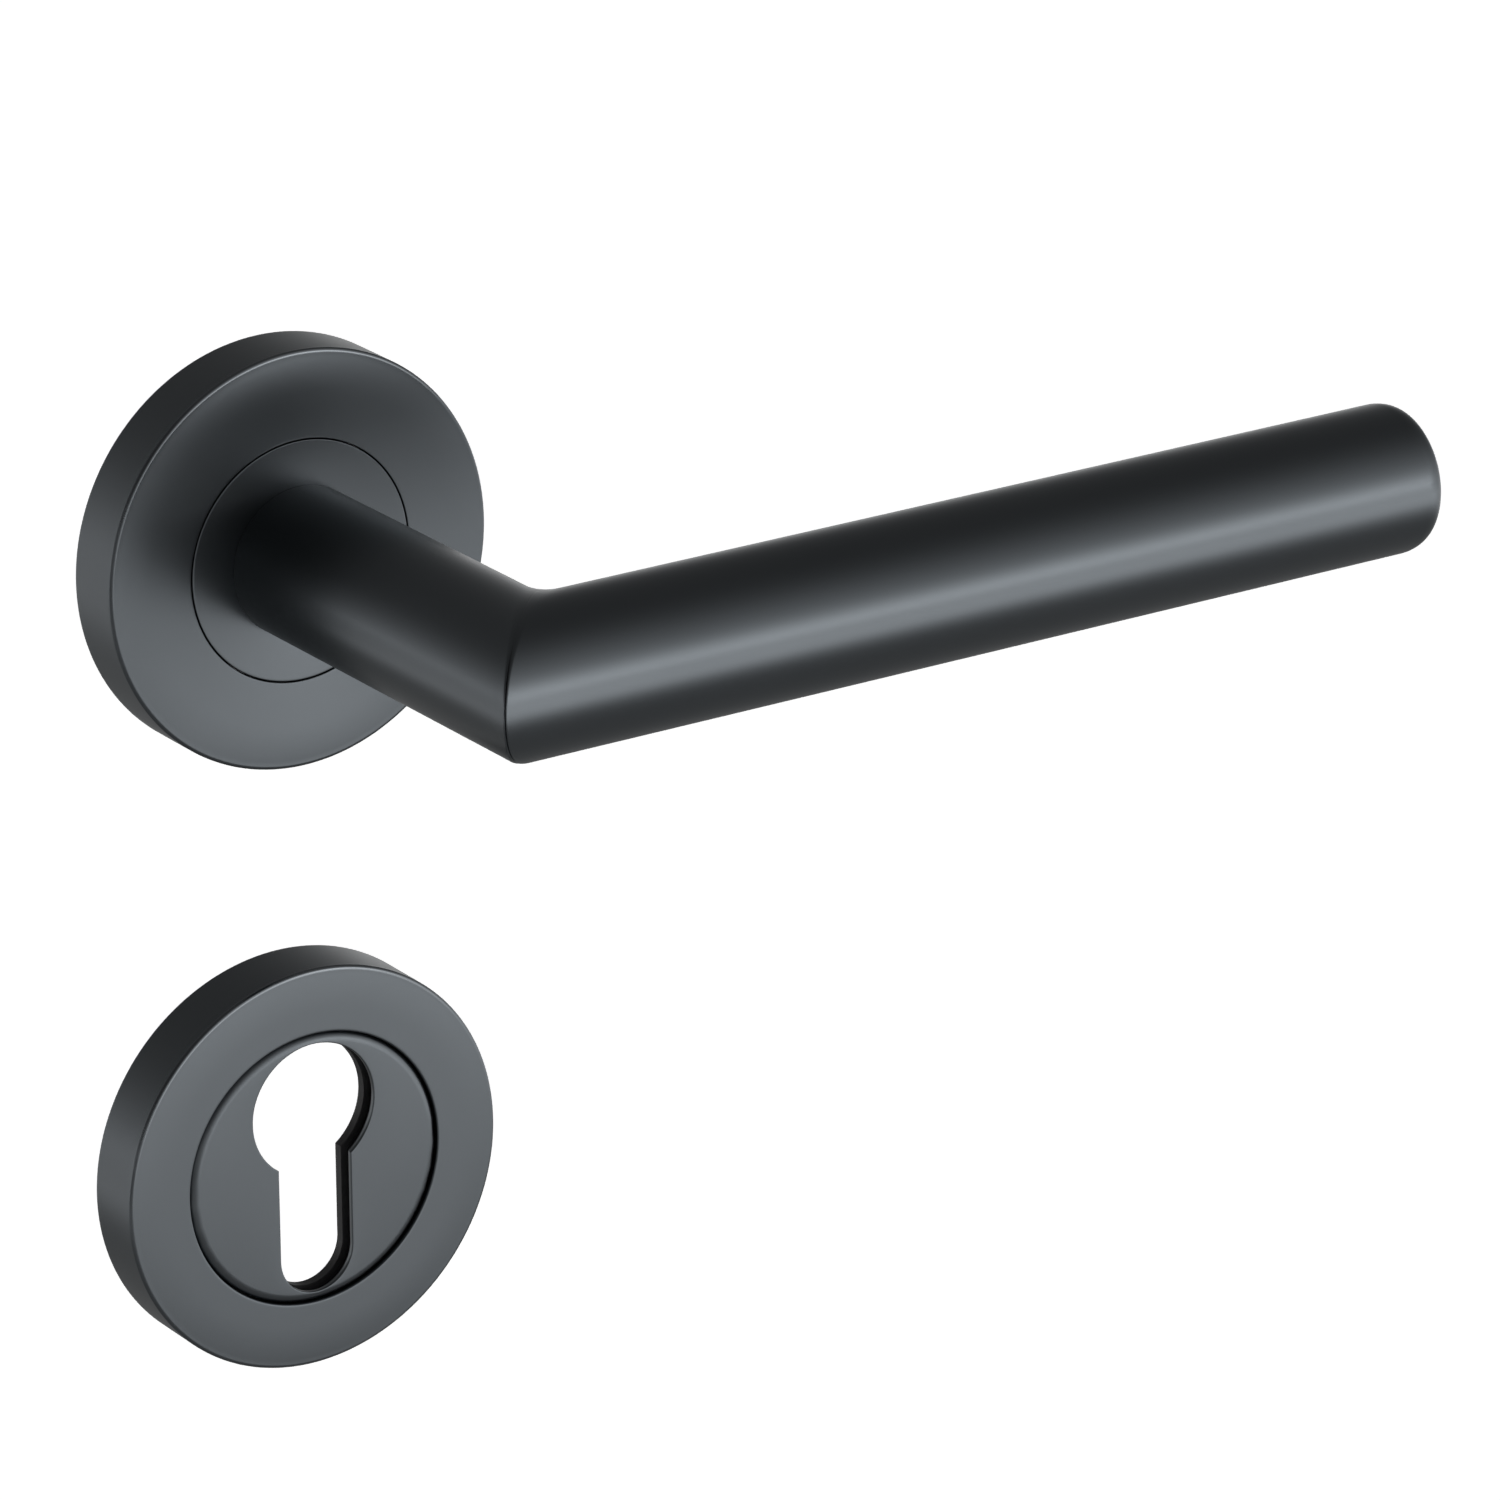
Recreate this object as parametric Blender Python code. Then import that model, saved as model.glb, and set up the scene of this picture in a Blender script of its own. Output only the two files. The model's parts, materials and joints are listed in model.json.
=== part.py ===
"""Lever handle on a round sprung rose, with a matching round escutcheon for a profile cylinder.

Metres, +Z up. The origin is on the spindle's axis at the door's face. +X runs along the grip and +Y goes into
the door. Each piece is modelled in a frame whose own Z stands out of the door, so heights are measured from
the door's face.
"""

import math

import bmesh
import bpy
from mathutils import Vector

MM = 0.001

# The lever: a mitred tube
TUBE_DIAMETER = 19.0 * MM
TUBE_WALL = 1.5 * MM
LEVER_LENGTH = 138.5 * MM  # from the neck's outer side to the end of the grip
GRIP_HEIGHT = 59.0 * MM  # from the door's face to the grip's axis
MITRE_GAP = 0.3 * MM
MITRE_INNER_ROUND = 4.0 * MM  # on the inside of the elbow
MITRE_OUTER_ROUND = 1.5 * MM
GRIP_END_ROUND = 1.3 * MM
GRIP_END_LAND = 0.2 * MM  # flat left between that round and the bore
NECK_FOOT_ROUND = 0.25 * MM
PLUG_LENGTH = 9.0 * MM
PLUG_CROWN = 0.5 * MM

# The rose and the escutcheon: two caps of one size
ROSE_DIAMETER = 53.0 * MM
ROSE_DEPTH = 8.4 * MM
COVER_WALL = 1.3 * MM
COVER_FACE = 1.2 * MM
COVER_EDGE = 0.4 * MM
COVER_HOLE_EDGE = 0.2 * MM
SNAP_WIRE = 1.4 * MM
SNAP_HEIGHT = 3.2 * MM
SNAP_GROOVE_IN_COVER = 0.5 * MM
SNAP_RING_OPENING = math.radians(20)

# The turning collar and its bearing
COLLAR_DIAMETER = 30.4 * MM
COLLAR_THICKNESS = 1.5 * MM
COLLAR_EDGE = 0.2 * MM
BUSH_WALL = 1.3 * MM
BUSH_FLANGE = 0.8 * MM
BASE_WEB = 1.6 * MM

# The hub, the spindle and what holds them
SPINDLE_SIDE = 8.0 * MM
SPINDLE_CHAMFER = 0.7 * MM
SPINDLE_END_CHAMFER = 0.6 * MM
SPINDLE_BEHIND = 30.0 * MM  # past the door's face
SPINDLE_IN_HUB = 28.0 * MM  # in front of the door's face
SOCKET_PLAY = 0.2 * MM
HUB_HEIGHT = 38.0 * MM
HUB_LIP = 1.0 * MM
HUB_CHAMFER = 0.5 * MM
HUB_FLAT_DEPTH = 1.0 * MM
GRUB_DIAMETER = 5.0 * MM
GRUB_HEIGHT = 17.0 * MM
GRUB_TIP = 1.0 * MM
GRUB_KEY = 2.5 * MM
GRUB_KEY_DEPTH = 2.4 * MM
WASHER_THICKNESS = 0.5 * MM
WASHER_WIDTH = 2.8 * MM
RING_THICKNESS = 1.0 * MM
RING_WIDTH = 2.4 * MM  # opposite the opening
RING_TIP_WIDTH = 1.7 * MM
RING_EYE = 2.8 * MM
RING_EYE_HOLE = 1.2 * MM
RING_EYE_NECK = 1.2  # the eye runs into the ring this many of its radii away
RING_OPENING = math.radians(50)

# The return spring and the stop
TURN_RANGE = math.radians(45)
DRIVER_WIDTH = 2.6 * MM
NOTCH_DEPTH = 1.8 * MM
STOP_PIN_DIAMETER = 1.8 * MM
STOP_PIN_ANGLE = math.radians(60)
SPRING_STRIP = 0.7 * MM
SPRING_SIDE_PLAY = 0.25 * MM  # inside the driver's two faces
SPRING_TURN_GAP = 0.5 * MM
SPRING_TURNS = 1.75
SPRING_INNER_ANGLE = math.radians(250)
SPRING_TANG = 1.3 * MM
SPRING_CLEARANCE = 0.55 * MM
PLATE_THICKNESS = 1.2 * MM
PLATE_MARGIN = 0.4 * MM
PLATE_EAR_REACH = 3.55 * MM  # from the plate's round edge to the middle of an ear
PLATE_EAR_MARGIN = 0.8 * MM  # round the screw's head
PLATE_SCREW_DIAMETER = 2.5 * MM
PLATE_SCREW_HEAD = 5.2 * MM
PLATE_SCREW_LENGTH = 5.0 * MM
PLATE_SCREW_SLOT = 0.7 * MM
PLATE_SCREW_SLOT_DEPTH = 0.7 * MM

# The bolt-through lugs behind each base
LUG_CENTRES = 38.0 * MM
LUG_DIAMETER = 7.0 * MM
LUG_LENGTH = 6.0 * MM
LUG_TAP = 3.3 * MM
LUG_TAP_DEPTH = 9.0 * MM

# Holes for wood screws and the hollows cast or moulded into the back of each base
WOOD_SCREW_HOLE = 3.0 * MM
WOOD_SCREW_SINK = 5.2 * MM
WOOD_SCREW_WALL = 0.7 * MM
WOOD_SCREW_ANGLE = math.radians(45)
CORE_WALL = 1.2 * MM
CORE_ROOF = 2.0 * MM

# The escutcheon and its keyhole
CYLINDER_CENTRES = 72.0 * MM  # from the spindle to the centre of the cylinder's plug
KEYHOLE_HEAD = 17.5 * MM
KEYHOLE_SLOT = 10.4 * MM
KEYHOLE_HEIGHT = 33.3 * MM
KEYHOLE_STEP = 0.4 * MM  # the base's hole is this much tighter all round
PLATE_RIM = 1.25 * MM  # metal left above and below the keyhole
KEYHOLE_PLATE_THICKNESS = 1.8 * MM
KEYHOLE_PLATE_EDGE = 1.2 * MM
KEYHOLE_PLATE_RECESS = 0.3 * MM
KEYHOLE_PLATE_GAP = 0.3 * MM
ESCUTCHEON_WEB = 1.3 * MM
ESCUTCHEON_POCKET_MARGIN = 0.25 * MM
CYLINDER_RELIEF_WIDTH = 16.0 * MM  # behind the plate, round the cylinder's foot
CYLINDER_RELIEF_DROP = 3.0 * MM

FIT = 0.3 * MM  # between pieces that touch
CUT = 1.0 * MM  # how far a cutter runs past the face it opens

LARGE_SIDES = 48
TUBE_SIDES = 40
INNER_SIDES = 32
SMALL_SIDES = 20
HOLE_SIDES = 16
WIRE_SIDES = 6
EAR_SIDES = 72
KEYHOLE_SIDES = 24
SPRING_POINTS = 36  # in each turn
CORE_SIDES = 24  # in a whole turn
RING_STEPS = 24
EYE_STEPS = 6  # in half a turn
ARC_STEPS = 3
ELBOW_STEPS = 3  # in each tube's half of the elbow
FINE_EDGE = 0.3 * MM  # a smaller edge is a plain chamfer

# Radii and heights that pieces share
TUBE_RADIUS = TUBE_DIAMETER / 2
TUBE_BORE = TUBE_RADIUS - TUBE_WALL
HUB_RADIUS = TUBE_BORE - FIT
HUB_FLAT = HUB_RADIUS - HUB_FLAT_DEPTH
ON_HUB = HUB_RADIUS + FIT
COVER_RADIUS = ROSE_DIAMETER / 2
COVER_INSIDE = COVER_RADIUS - COVER_WALL
BASE_RADIUS = COVER_INSIDE - FIT
COVER_CEILING = ROSE_DEPTH - COVER_FACE
BASE_FRONT = COVER_CEILING - FIT
COLLAR_RADIUS = COLLAR_DIAMETER / 2
COLLAR_HOLE = COLLAR_RADIUS + FIT
COLLAR_BACK = ROSE_DEPTH - COLLAR_THICKNESS
FLANGE_FRONT = COLLAR_BACK - FIT
FLANGE_BACK = FLANGE_FRONT - BUSH_FLANGE
BUSH_RADIUS = ON_HUB + BUSH_WALL
WEB_FRONT = FLANGE_BACK - FIT
WEB_BACK = WEB_FRONT - BASE_WEB
CHAMBER_BACK = PLATE_THICKNESS + FIT
DRIVER_FRONT = WEB_BACK - FIT
DRIVER_RADIUS = ON_HUB + DRIVER_WIDTH
NOTCH_FLOOR = DRIVER_RADIUS - NOTCH_DEPTH
STOP_PIN_RADIUS = STOP_PIN_DIAMETER / 2
STOP_PIN_PLACE = NOTCH_FLOOR + FIT + STOP_PIN_RADIUS
SPRING_PITCH = SPRING_STRIP + SPRING_TURN_GAP
SPRING_START = max(STOP_PIN_PLACE + STOP_PIN_RADIUS, DRIVER_RADIUS) + FIT + SPRING_STRIP / 2
SPRING_END = SPRING_START + SPRING_PITCH * SPRING_TURNS
CHAMBER_RADIUS = SPRING_END + SPRING_STRIP / 2 + SPRING_CLEARANCE
SPRING_ANCHOR = SPRING_END + SPRING_STRIP / 2 + SPRING_TANG
PLATE_RADIUS = CHAMBER_RADIUS + PLATE_MARGIN
PLATE_EAR_PLACE = PLATE_RADIUS + PLATE_EAR_REACH
PLATE_EAR_RADIUS = PLATE_SCREW_HEAD / 2 + PLATE_EAR_MARGIN
RING_FRONT = -FIT - WASHER_THICKNESS - FIT
RING_BACK = RING_FRONT - RING_THICKNESS
HUB_BACK = RING_BACK - FIT - HUB_LIP
KEYHOLE_PLATE_RADIUS = KEYHOLE_HEIGHT / 2 + PLATE_RIM
KEYHOLE_PLATE_FRONT = ROSE_DEPTH - KEYHOLE_PLATE_RECESS
KEYHOLE_PLATE_BACK = KEYHOLE_PLATE_FRONT - KEYHOLE_PLATE_THICKNESS
KEYHOLE_HEAD_CENTRE = (KEYHOLE_HEIGHT - KEYHOLE_HEAD) / 2
ESCUTCHEON_DROP = CYLINDER_CENTRES + KEYHOLE_HEAD_CENTRE
SNAP_GROOVE_DEPTH = SNAP_WIRE + 2 * FIT - (COVER_INSIDE - BASE_RADIUS) - SNAP_GROOVE_IN_COVER
SNAP_GROOVE_FLOOR = BASE_RADIUS - SNAP_GROOVE_DEPTH
WOOD_SCREW_PLACE = SNAP_GROOVE_FLOOR - WOOD_SCREW_WALL - WOOD_SCREW_HOLE / 2


def clear_scene():
    for thing in list(bpy.data.objects):
        bpy.data.objects.remove(thing)


def finish(name, colour, metallic, roughness):
    material = bpy.data.materials.new(name)
    material.use_nodes = True
    shader = material.node_tree.nodes["Principled BSDF"]
    shader.inputs["Base Color"].default_value = (*colour, 1.0)
    shader.inputs["Metallic"].default_value = metallic
    shader.inputs["Roughness"].default_value = roughness
    return material


def door_frame(name, height=0.0):
    """Empty on the door's face whose own Z stands out of the door and whose own Y is up."""
    empty = bpy.data.objects.new(name, None)
    empty.location = (0.0, 0.0, height)
    empty.rotation_euler = (math.pi / 2, 0.0, 0.0)
    bpy.context.collection.objects.link(empty)
    return empty


def solid(name, mesh_data, parent, material=None):
    """Closes a mesh into an object under a frame, shaded smooth but for its corners."""
    bmesh.ops.remove_doubles(mesh_data, verts=mesh_data.verts, dist=1e-7)
    bmesh.ops.recalc_face_normals(mesh_data, faces=mesh_data.faces)
    mesh = bpy.data.meshes.new(name)
    mesh_data.to_mesh(mesh)
    mesh_data.free()
    mesh.shade_smooth()
    mesh.set_sharp_from_angle(angle=math.radians(30))
    body = bpy.data.objects.new(name, mesh)
    body.parent = parent
    if material:
        mesh.materials.append(material)
    bpy.context.collection.objects.link(body)
    return body


def rounded(corners):
    """Closed outline through corners of (x, y) or (x, y, radius), with an arc wherever there is a radius."""
    points = []
    for i, corner in enumerate(corners):
        here = Vector(corner[:2])
        if len(corner) == 2:
            points.append(tuple(here))
            continue
        radius = corner[2]
        steps = ARC_STEPS if radius > FINE_EDGE else 1
        back = (Vector(corners[i - 1][:2]) - here).normalized()
        ahead = (Vector(corners[(i + 1) % len(corners)][:2]) - here).normalized()
        half = back.angle(ahead) / 2
        centre = here + (back + ahead).normalized() * radius / math.sin(half)
        spoke = here + back * radius / math.tan(half) - centre
        last = here + ahead * radius / math.tan(half) - centre
        turn = math.atan2(spoke.cross(last), spoke.dot(last))
        for step in range(steps + 1):
            c, s = math.cos(turn * step / steps), math.sin(turn * step / steps)
            points.append((centre.x + c * spoke.x - s * spoke.y, centre.y + s * spoke.x + c * spoke.y))
    return points


def turned(name, corners, parent, material=None, sides=LARGE_SIDES, start=0.0, sweep=math.tau):
    """Body swept about Z from an outline of (radius, height) corners, all round or through part of a turn.

    An outline that starts and ends on the axis gives a solid core, flat or pointed at each end.
    """
    outline = rounded(corners)
    core = outline[0][0] == 0.0
    whole = sweep == math.tau
    walls = outline[1:-1] if core else outline
    build = bmesh.new()
    rings = []
    for i in range(sides if whole else sides + 1):
        angle = start + sweep * i / sides
        c, s = math.cos(angle), math.sin(angle)
        rings.append([build.verts.new((radius * c, radius * s, height)) for radius, height in walls])
    for i in range(sides):
        here, there = rings[i], rings[(i + 1) % len(rings)]
        for j in range(1 if core else 0, len(walls)):
            build.faces.new((here[j - 1], here[j], there[j], there[j - 1]))
    if not whole:
        build.faces.new(rings[0])
        build.faces.new(rings[-1])
    if core:
        for tip, edge, j in ((outline[0], walls[0], 0), (outline[-1], walls[-1], -1)):
            rim = [ring[j] for ring in rings]
            if tip[1] == edge[1]:
                build.faces.new(rim)
                continue
            point = build.verts.new((0.0, 0.0, tip[1]))
            for i in range(sides):
                build.faces.new((rim[i - 1], rim[i], point))
    return solid(name, build, parent, material)


def prism(name, outline, low, high, parent, material=None, chamfer=0.0):
    """Body of a flat outline between two heights, drawn in at both ends where it has a chamfer."""
    reach = max(abs(x) for x, y in outline)
    levels = [(low, 1.0), (high, 1.0)]
    if chamfer:
        drawn_in = 1.0 - chamfer / reach
        levels = [(low, drawn_in), (low + chamfer, 1.0), (high - chamfer, 1.0), (high, drawn_in)]
    build = bmesh.new()
    rings = [[build.verts.new((x * share, y * share, z)) for x, y in outline] for z, share in levels]
    build.faces.new(rings[0])
    build.faces.new(rings[-1])
    for here, there in zip(rings, rings[1:]):
        for i in range(len(outline)):
            build.faces.new((here[i - 1], here[i], there[i], there[i - 1]))
    return solid(name, build, parent, material)


def rod(name, radius, low, high, parent, place=(0.0, 0.0), sides=SMALL_SIDES):
    """Plain round bar, a cutter or a part of another body, with flats where its own X and Y cross it."""
    outline = [(0, low), (radius, low), (radius, high), (0, high)]
    body = turned(name, outline, parent, sides=sides, start=math.pi / sides)
    body.location = (*place, 0.0)
    return body


def combine(target, operation, *tools):
    """Cuts tools out of a body, or joins them to it, and leaves them as wire guides.

    Steps of one kind that follow each other are one modifier, whose tools act together.
    """
    modifier = target.modifiers[-1] if target.modifiers else None
    if not modifier or modifier.operation != operation:
        name = f"{target.name}_{operation.lower()}"
        modifier = target.modifiers.new(name, "BOOLEAN")
        modifier.operation = operation
        modifier.operand_type = "COLLECTION"
        modifier.collection = bpy.data.collections.new(name)
    for tool in tools:
        modifier.collection.objects.link(tool)
        tool.hide_render = True
        tool.display_type = "WIRE"


def cut(target, *tools):
    combine(target, "DIFFERENCE", *tools)


def fuse(target, *tools):
    combine(target, "UNION", *tools)


def mitred_tube(name, length, end_round, parent, material):
    """Tube along Z whose near end is mitred for a square elbow about the origin, shorter on its +X side.

    The elbow's corner is rounded, more on the inside of the bend than on the outside.
    """
    slant = MITRE_GAP / 2 * math.sqrt(2)
    end = rounded([
        (TUBE_RADIUS, 0.0),
        (TUBE_RADIUS, length, end_round),
        (TUBE_BORE, length),
        (TUBE_BORE, 0.0),
    ])[1:-1]
    build = bmesh.new()
    rings = []
    for i in range(TUBE_SIDES):
        c, s = at_angle(1.0, math.tau * i / TUBE_SIDES)
        bend = MITRE_OUTER_ROUND + (MITRE_INNER_ROUND - MITRE_OUTER_ROUND) * (1 + c) / 2
        ring = [build.verts.new((TUBE_BORE * c, TUBE_BORE * s, TUBE_BORE * c + slant))]
        for step in range(ELBOW_STEPS + 1):
            turn = math.pi / 4 * (1 - step / ELBOW_STEPS)
            across = TUBE_RADIUS * c + bend * (1 - math.cos(turn))
            along = TUBE_RADIUS * c + bend * (1 - math.sin(turn)) + slant
            ring.append(build.verts.new((across, TUBE_RADIUS * s, along)))
        ring += [build.verts.new((radius * c, radius * s, along)) for radius, along in end]
        rings.append(ring)
    for i in range(TUBE_SIDES):
        here, there = rings[i - 1], rings[i]
        for j in range(len(here)):
            build.faces.new((here[j - 1], here[j], there[j], there[j - 1]))
    tube = solid(name, build, parent, material)
    tube.location = (0.0, 0.0, GRIP_HEIGHT)
    return tube


def at_angle(radius, angle):
    return radius * math.cos(angle), radius * math.sin(angle)


def square(side):
    half = side / 2
    return [(-half, -half), (half, -half), (half, half), (-half, half)]


def radial_box(inner, outer, width, angle):
    """Outline of a slot that runs outwards along an angle."""
    along = Vector(at_angle(1.0, angle))
    across = Vector((-along.y, along.x)) * width / 2
    ends = along * inner, along * outer
    return [tuple(p) for p in (ends[0] - across, ends[1] - across, ends[1] + across, ends[0] + across)]


def double_d(radius, flat):
    """Circle with two flats, which keys a ring to the hub."""
    points = [at_angle(radius, math.tau * i / INNER_SIDES) for i in range(INNER_SIDES)]
    return [(max(-flat, min(flat, x)), y) for x, y in points]


def eared_disc(radius, ear_radius):
    """Disc with an ear above and an ear below, as the reach of its edge at each angle."""
    points = []
    for i in range(EAR_SIDES):
        angle = math.tau * i / EAR_SIDES
        aside = abs(math.cos(angle))
        offset = PLATE_EAR_PLACE * aside
        reach = radius
        if offset < ear_radius:
            ear_tip = PLATE_EAR_PLACE * abs(math.sin(angle)) + math.sqrt(ear_radius**2 - offset**2)
            reach = max(reach, ear_tip)
        points.append(at_angle(reach, angle))
    return points


def circlip(inside):
    """Outline of an open retaining ring, widest at the top, with an eye on each side of its opening below."""
    eye = RING_EYE / 2
    reach = math.pi - RING_OPENING / 2  # from the top round to the middle of an eye
    shoulder = reach - RING_EYE_NECK * eye / (inside + eye)

    def ring(radius, turn):
        return at_angle(radius, math.pi / 2 + turn)

    def eye_points(side):
        out = Vector(ring(1.0, side * reach))
        along = Vector((-out.y, out.x)) * side
        centre = out * (inside + eye)
        angles = [math.pi * i / EYE_STEPS for i in range(1, EYE_STEPS + 2)]
        return [tuple(centre + (along * math.sin(a) - out * math.cos(a)) * eye) for a in angles]

    inner = [ring(inside, reach * (2 * i / RING_STEPS - 1)) for i in range(RING_STEPS + 1)]
    outer = []
    for i in range(RING_STEPS + 1):
        turn = shoulder * (1 - 2 * i / RING_STEPS)
        width = RING_TIP_WIDTH + (RING_WIDTH - RING_TIP_WIDTH) * (1 + math.cos(turn)) / 2
        outer.append(ring(inside + width, turn))
    return [*inner, *eye_points(1), *outer, *reversed(eye_points(-1))]


def keyhole(shrink=0.0):
    """Outline of the profile cylinder's hole, centred in its plate: a round head over a narrower slot."""
    head = KEYHOLE_HEAD / 2 - shrink
    slot = KEYHOLE_SLOT / 2 - shrink
    foot_centre = (KEYHOLE_SLOT - KEYHOLE_HEIGHT) / 2
    shoulder = math.acos(slot / head)
    points = []
    for i in range(KEYHOLE_SIDES + 1):
        x, y = at_angle(head, -shoulder + (math.pi + 2 * shoulder) * i / KEYHOLE_SIDES)
        points.append((x, y + KEYHOLE_HEAD_CENTRE))
    for i in range(KEYHOLE_SIDES // 2 + 1):
        x, y = at_angle(slot, math.pi + math.tau * i / KEYHOLE_SIDES)
        points.append((x, y + foot_centre))
    return points


def spring_path():
    """Flat spiral from the tang in the driver to the tang in the base, wound outwards against the clock."""
    inner_tang = Vector(at_angle(SPRING_START - SPRING_STRIP / 2 - SPRING_TANG, SPRING_INNER_ANGLE))
    outer_angle = SPRING_INNER_ANGLE + math.tau * SPRING_TURNS
    outer_tang = Vector(at_angle(SPRING_ANCHOR, outer_angle))
    steps = round(SPRING_POINTS * SPRING_TURNS)
    spiral = []
    for i in range(steps + 1):
        share = i / steps
        radius = SPRING_START + (SPRING_END - SPRING_START) * share
        spiral.append(Vector(at_angle(radius, SPRING_INNER_ANGLE + math.tau * SPRING_TURNS * share)))
    return [inner_tang, *spiral, outer_tang]


def ribbon(name, path, thickness, low, high, parent, material):
    """Strip of one thickness that stands on edge along a flat path."""
    build = bmesh.new()
    sections = []
    for i, point in enumerate(path):
        back = (point - path[max(i - 1, 0)]).normalized()
        ahead = (path[min(i + 1, len(path) - 1)] - point).normalized()
        along = (back + ahead).normalized()
        lean = max(along.dot(ahead), along.dot(back))
        side = Vector((-along.y, along.x)) * thickness / 2 / lean
        corners = ((point - side, low), (point + side, low), (point + side, high), (point - side, high))
        sections.append([build.verts.new((p.x, p.y, z)) for p, z in corners])
    for here, there in zip(sections, sections[1:]):
        for j in range(4):
            build.faces.new((here[j - 1], here[j], there[j], there[j - 1]))
    build.faces.new(sections[0])
    build.faces.new(sections[-1])
    return solid(name, build, parent, material)


def least_gap(path, thickness, apart):
    """Smallest clear space between turns of a strip, taken between points at least so many steps apart."""
    gaps = [(p - q).length for i, p in enumerate(path) for q in path[i + apart:]]
    return min(gaps) - thickness


def cap(name, hole_radius, parent, material):
    """Push-on cover with a soft front edge, a round hole and an inner groove for its snap ring."""
    groove = SNAP_WIRE / 2 + FIT
    groove_radius = COVER_INSIDE + SNAP_GROOVE_IN_COVER
    return turned(name, [
        (COVER_INSIDE, 0.0),
        (COVER_RADIUS, 0.0),
        (COVER_RADIUS, ROSE_DEPTH, COVER_EDGE),
        (hole_radius, ROSE_DEPTH, COVER_HOLE_EDGE),
        (hole_radius, COVER_CEILING),
        (COVER_INSIDE, COVER_CEILING),
        (COVER_INSIDE, SNAP_HEIGHT + groove),
        (groove_radius, SNAP_HEIGHT + groove),
        (groove_radius, SNAP_HEIGHT - groove),
        (COVER_INSIDE, SNAP_HEIGHT - groove),
    ], parent, material)


def snap_ring(name, parent, material):
    """Split ring of spring wire, half in the base's groove and half in the cover's."""
    wire = SNAP_WIRE / 2
    centre = SNAP_GROOVE_FLOOR + FIT + wire
    spokes = [at_angle(wire, math.tau * i / WIRE_SIDES) for i in range(WIRE_SIDES)]
    section = [(centre + out, SNAP_HEIGHT + up) for out, up in spokes]
    start = SNAP_RING_OPENING / 2 - math.pi / 2
    return turned(name, section, parent, material, start=start, sweep=math.tau - SNAP_RING_OPENING)


def base_edge():
    """Outer side of a base from back to front, with the groove for its snap ring."""
    groove = SNAP_WIRE / 2 + FIT
    return [
        (BASE_RADIUS, 0.0),
        (BASE_RADIUS, SNAP_HEIGHT - groove),
        (SNAP_GROOVE_FLOOR, SNAP_HEIGHT - groove),
        (SNAP_GROOVE_FLOOR, SNAP_HEIGHT + groove),
        (BASE_RADIUS, SNAP_HEIGHT + groove),
        (BASE_RADIUS, BASE_FRONT),
    ]


def add_lugs(base, parent):
    """Two threaded lugs on a level line, for bolts that come through the door, inside the base's edge."""
    edge = rod(f"{base.name}_lug_limit", BASE_RADIUS - FIT, -LUG_LENGTH - CUT, 2 * CUT, parent,
               sides=LARGE_SIDES)
    lugs, taps = [], []
    for side, word in ((-1, "left"), (1, "right")):
        place = (side * LUG_CENTRES / 2, 0.0)
        lug = rod(f"{base.name}_lug_{word}", LUG_DIAMETER / 2, -LUG_LENGTH, CUT, parent, place)
        combine(lug, "INTERSECT", edge)
        lugs.append(lug)
        tap_end = LUG_TAP_DEPTH - LUG_LENGTH
        taps.append(rod(f"{base.name}_tap_{word}", LUG_TAP / 2, -LUG_LENGTH - CUT, tap_end, parent, place))
    fuse(base, *lugs)
    cut(base, *taps)


def hollow_back(base, inner, post_radius, post_place, parent):
    """Two countersunk holes for wood screws, and hollows in the back between these, the lugs and two posts.

    The posts stand above and below the middle, each with a radius of its own at its place.
    """
    hole = WOOD_SCREW_HOLE / 2
    cone = WOOD_SCREW_SINK / 2 - hole
    posts = []
    for half in (0.0, math.pi):
        posts.append((half, math.asin((LUG_DIAMETER / 2 + CORE_WALL) / (LUG_CENTRES / 2))))
        posts.append((half + WOOD_SCREW_ANGLE, math.asin((hole + CORE_WALL) / WOOD_SCREW_PLACE)))
        posts.append((half + math.pi / 2, math.asin((post_radius + CORE_WALL) / post_place)))
        drill = turned(f"{base.name}_wood_screw_{len(posts)}", [
            (0.0, -CUT),
            (hole, -CUT),
            (hole, BASE_FRONT - cone),
            (hole + cone + CUT, BASE_FRONT + CUT),
            (0.0, BASE_FRONT + CUT),
        ], parent, sides=HOLE_SIDES)
        drill.location = (*at_angle(WOOD_SCREW_PLACE, half + WOOD_SCREW_ANGLE), 0.0)
        cut(base, drill)
    ends = posts[1:] + [(math.tau + posts[0][0], posts[0][1])]
    for i, ((first, first_half), (last, last_half)) in enumerate(zip(posts, ends)):
        start = first + first_half
        sweep = last - last_half - start
        cut(base, turned(f"{base.name}_core_{i}", [
            (inner, -CUT),
            (SNAP_GROOVE_FLOOR - CORE_WALL, -CUT),
            (SNAP_GROOVE_FLOOR - CORE_WALL, BASE_FRONT - CORE_ROOF),
            (inner, BASE_FRONT - CORE_ROOF),
        ], parent, sides=math.ceil(CORE_SIDES * sweep / math.tau), start=start, sweep=sweep))


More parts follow.
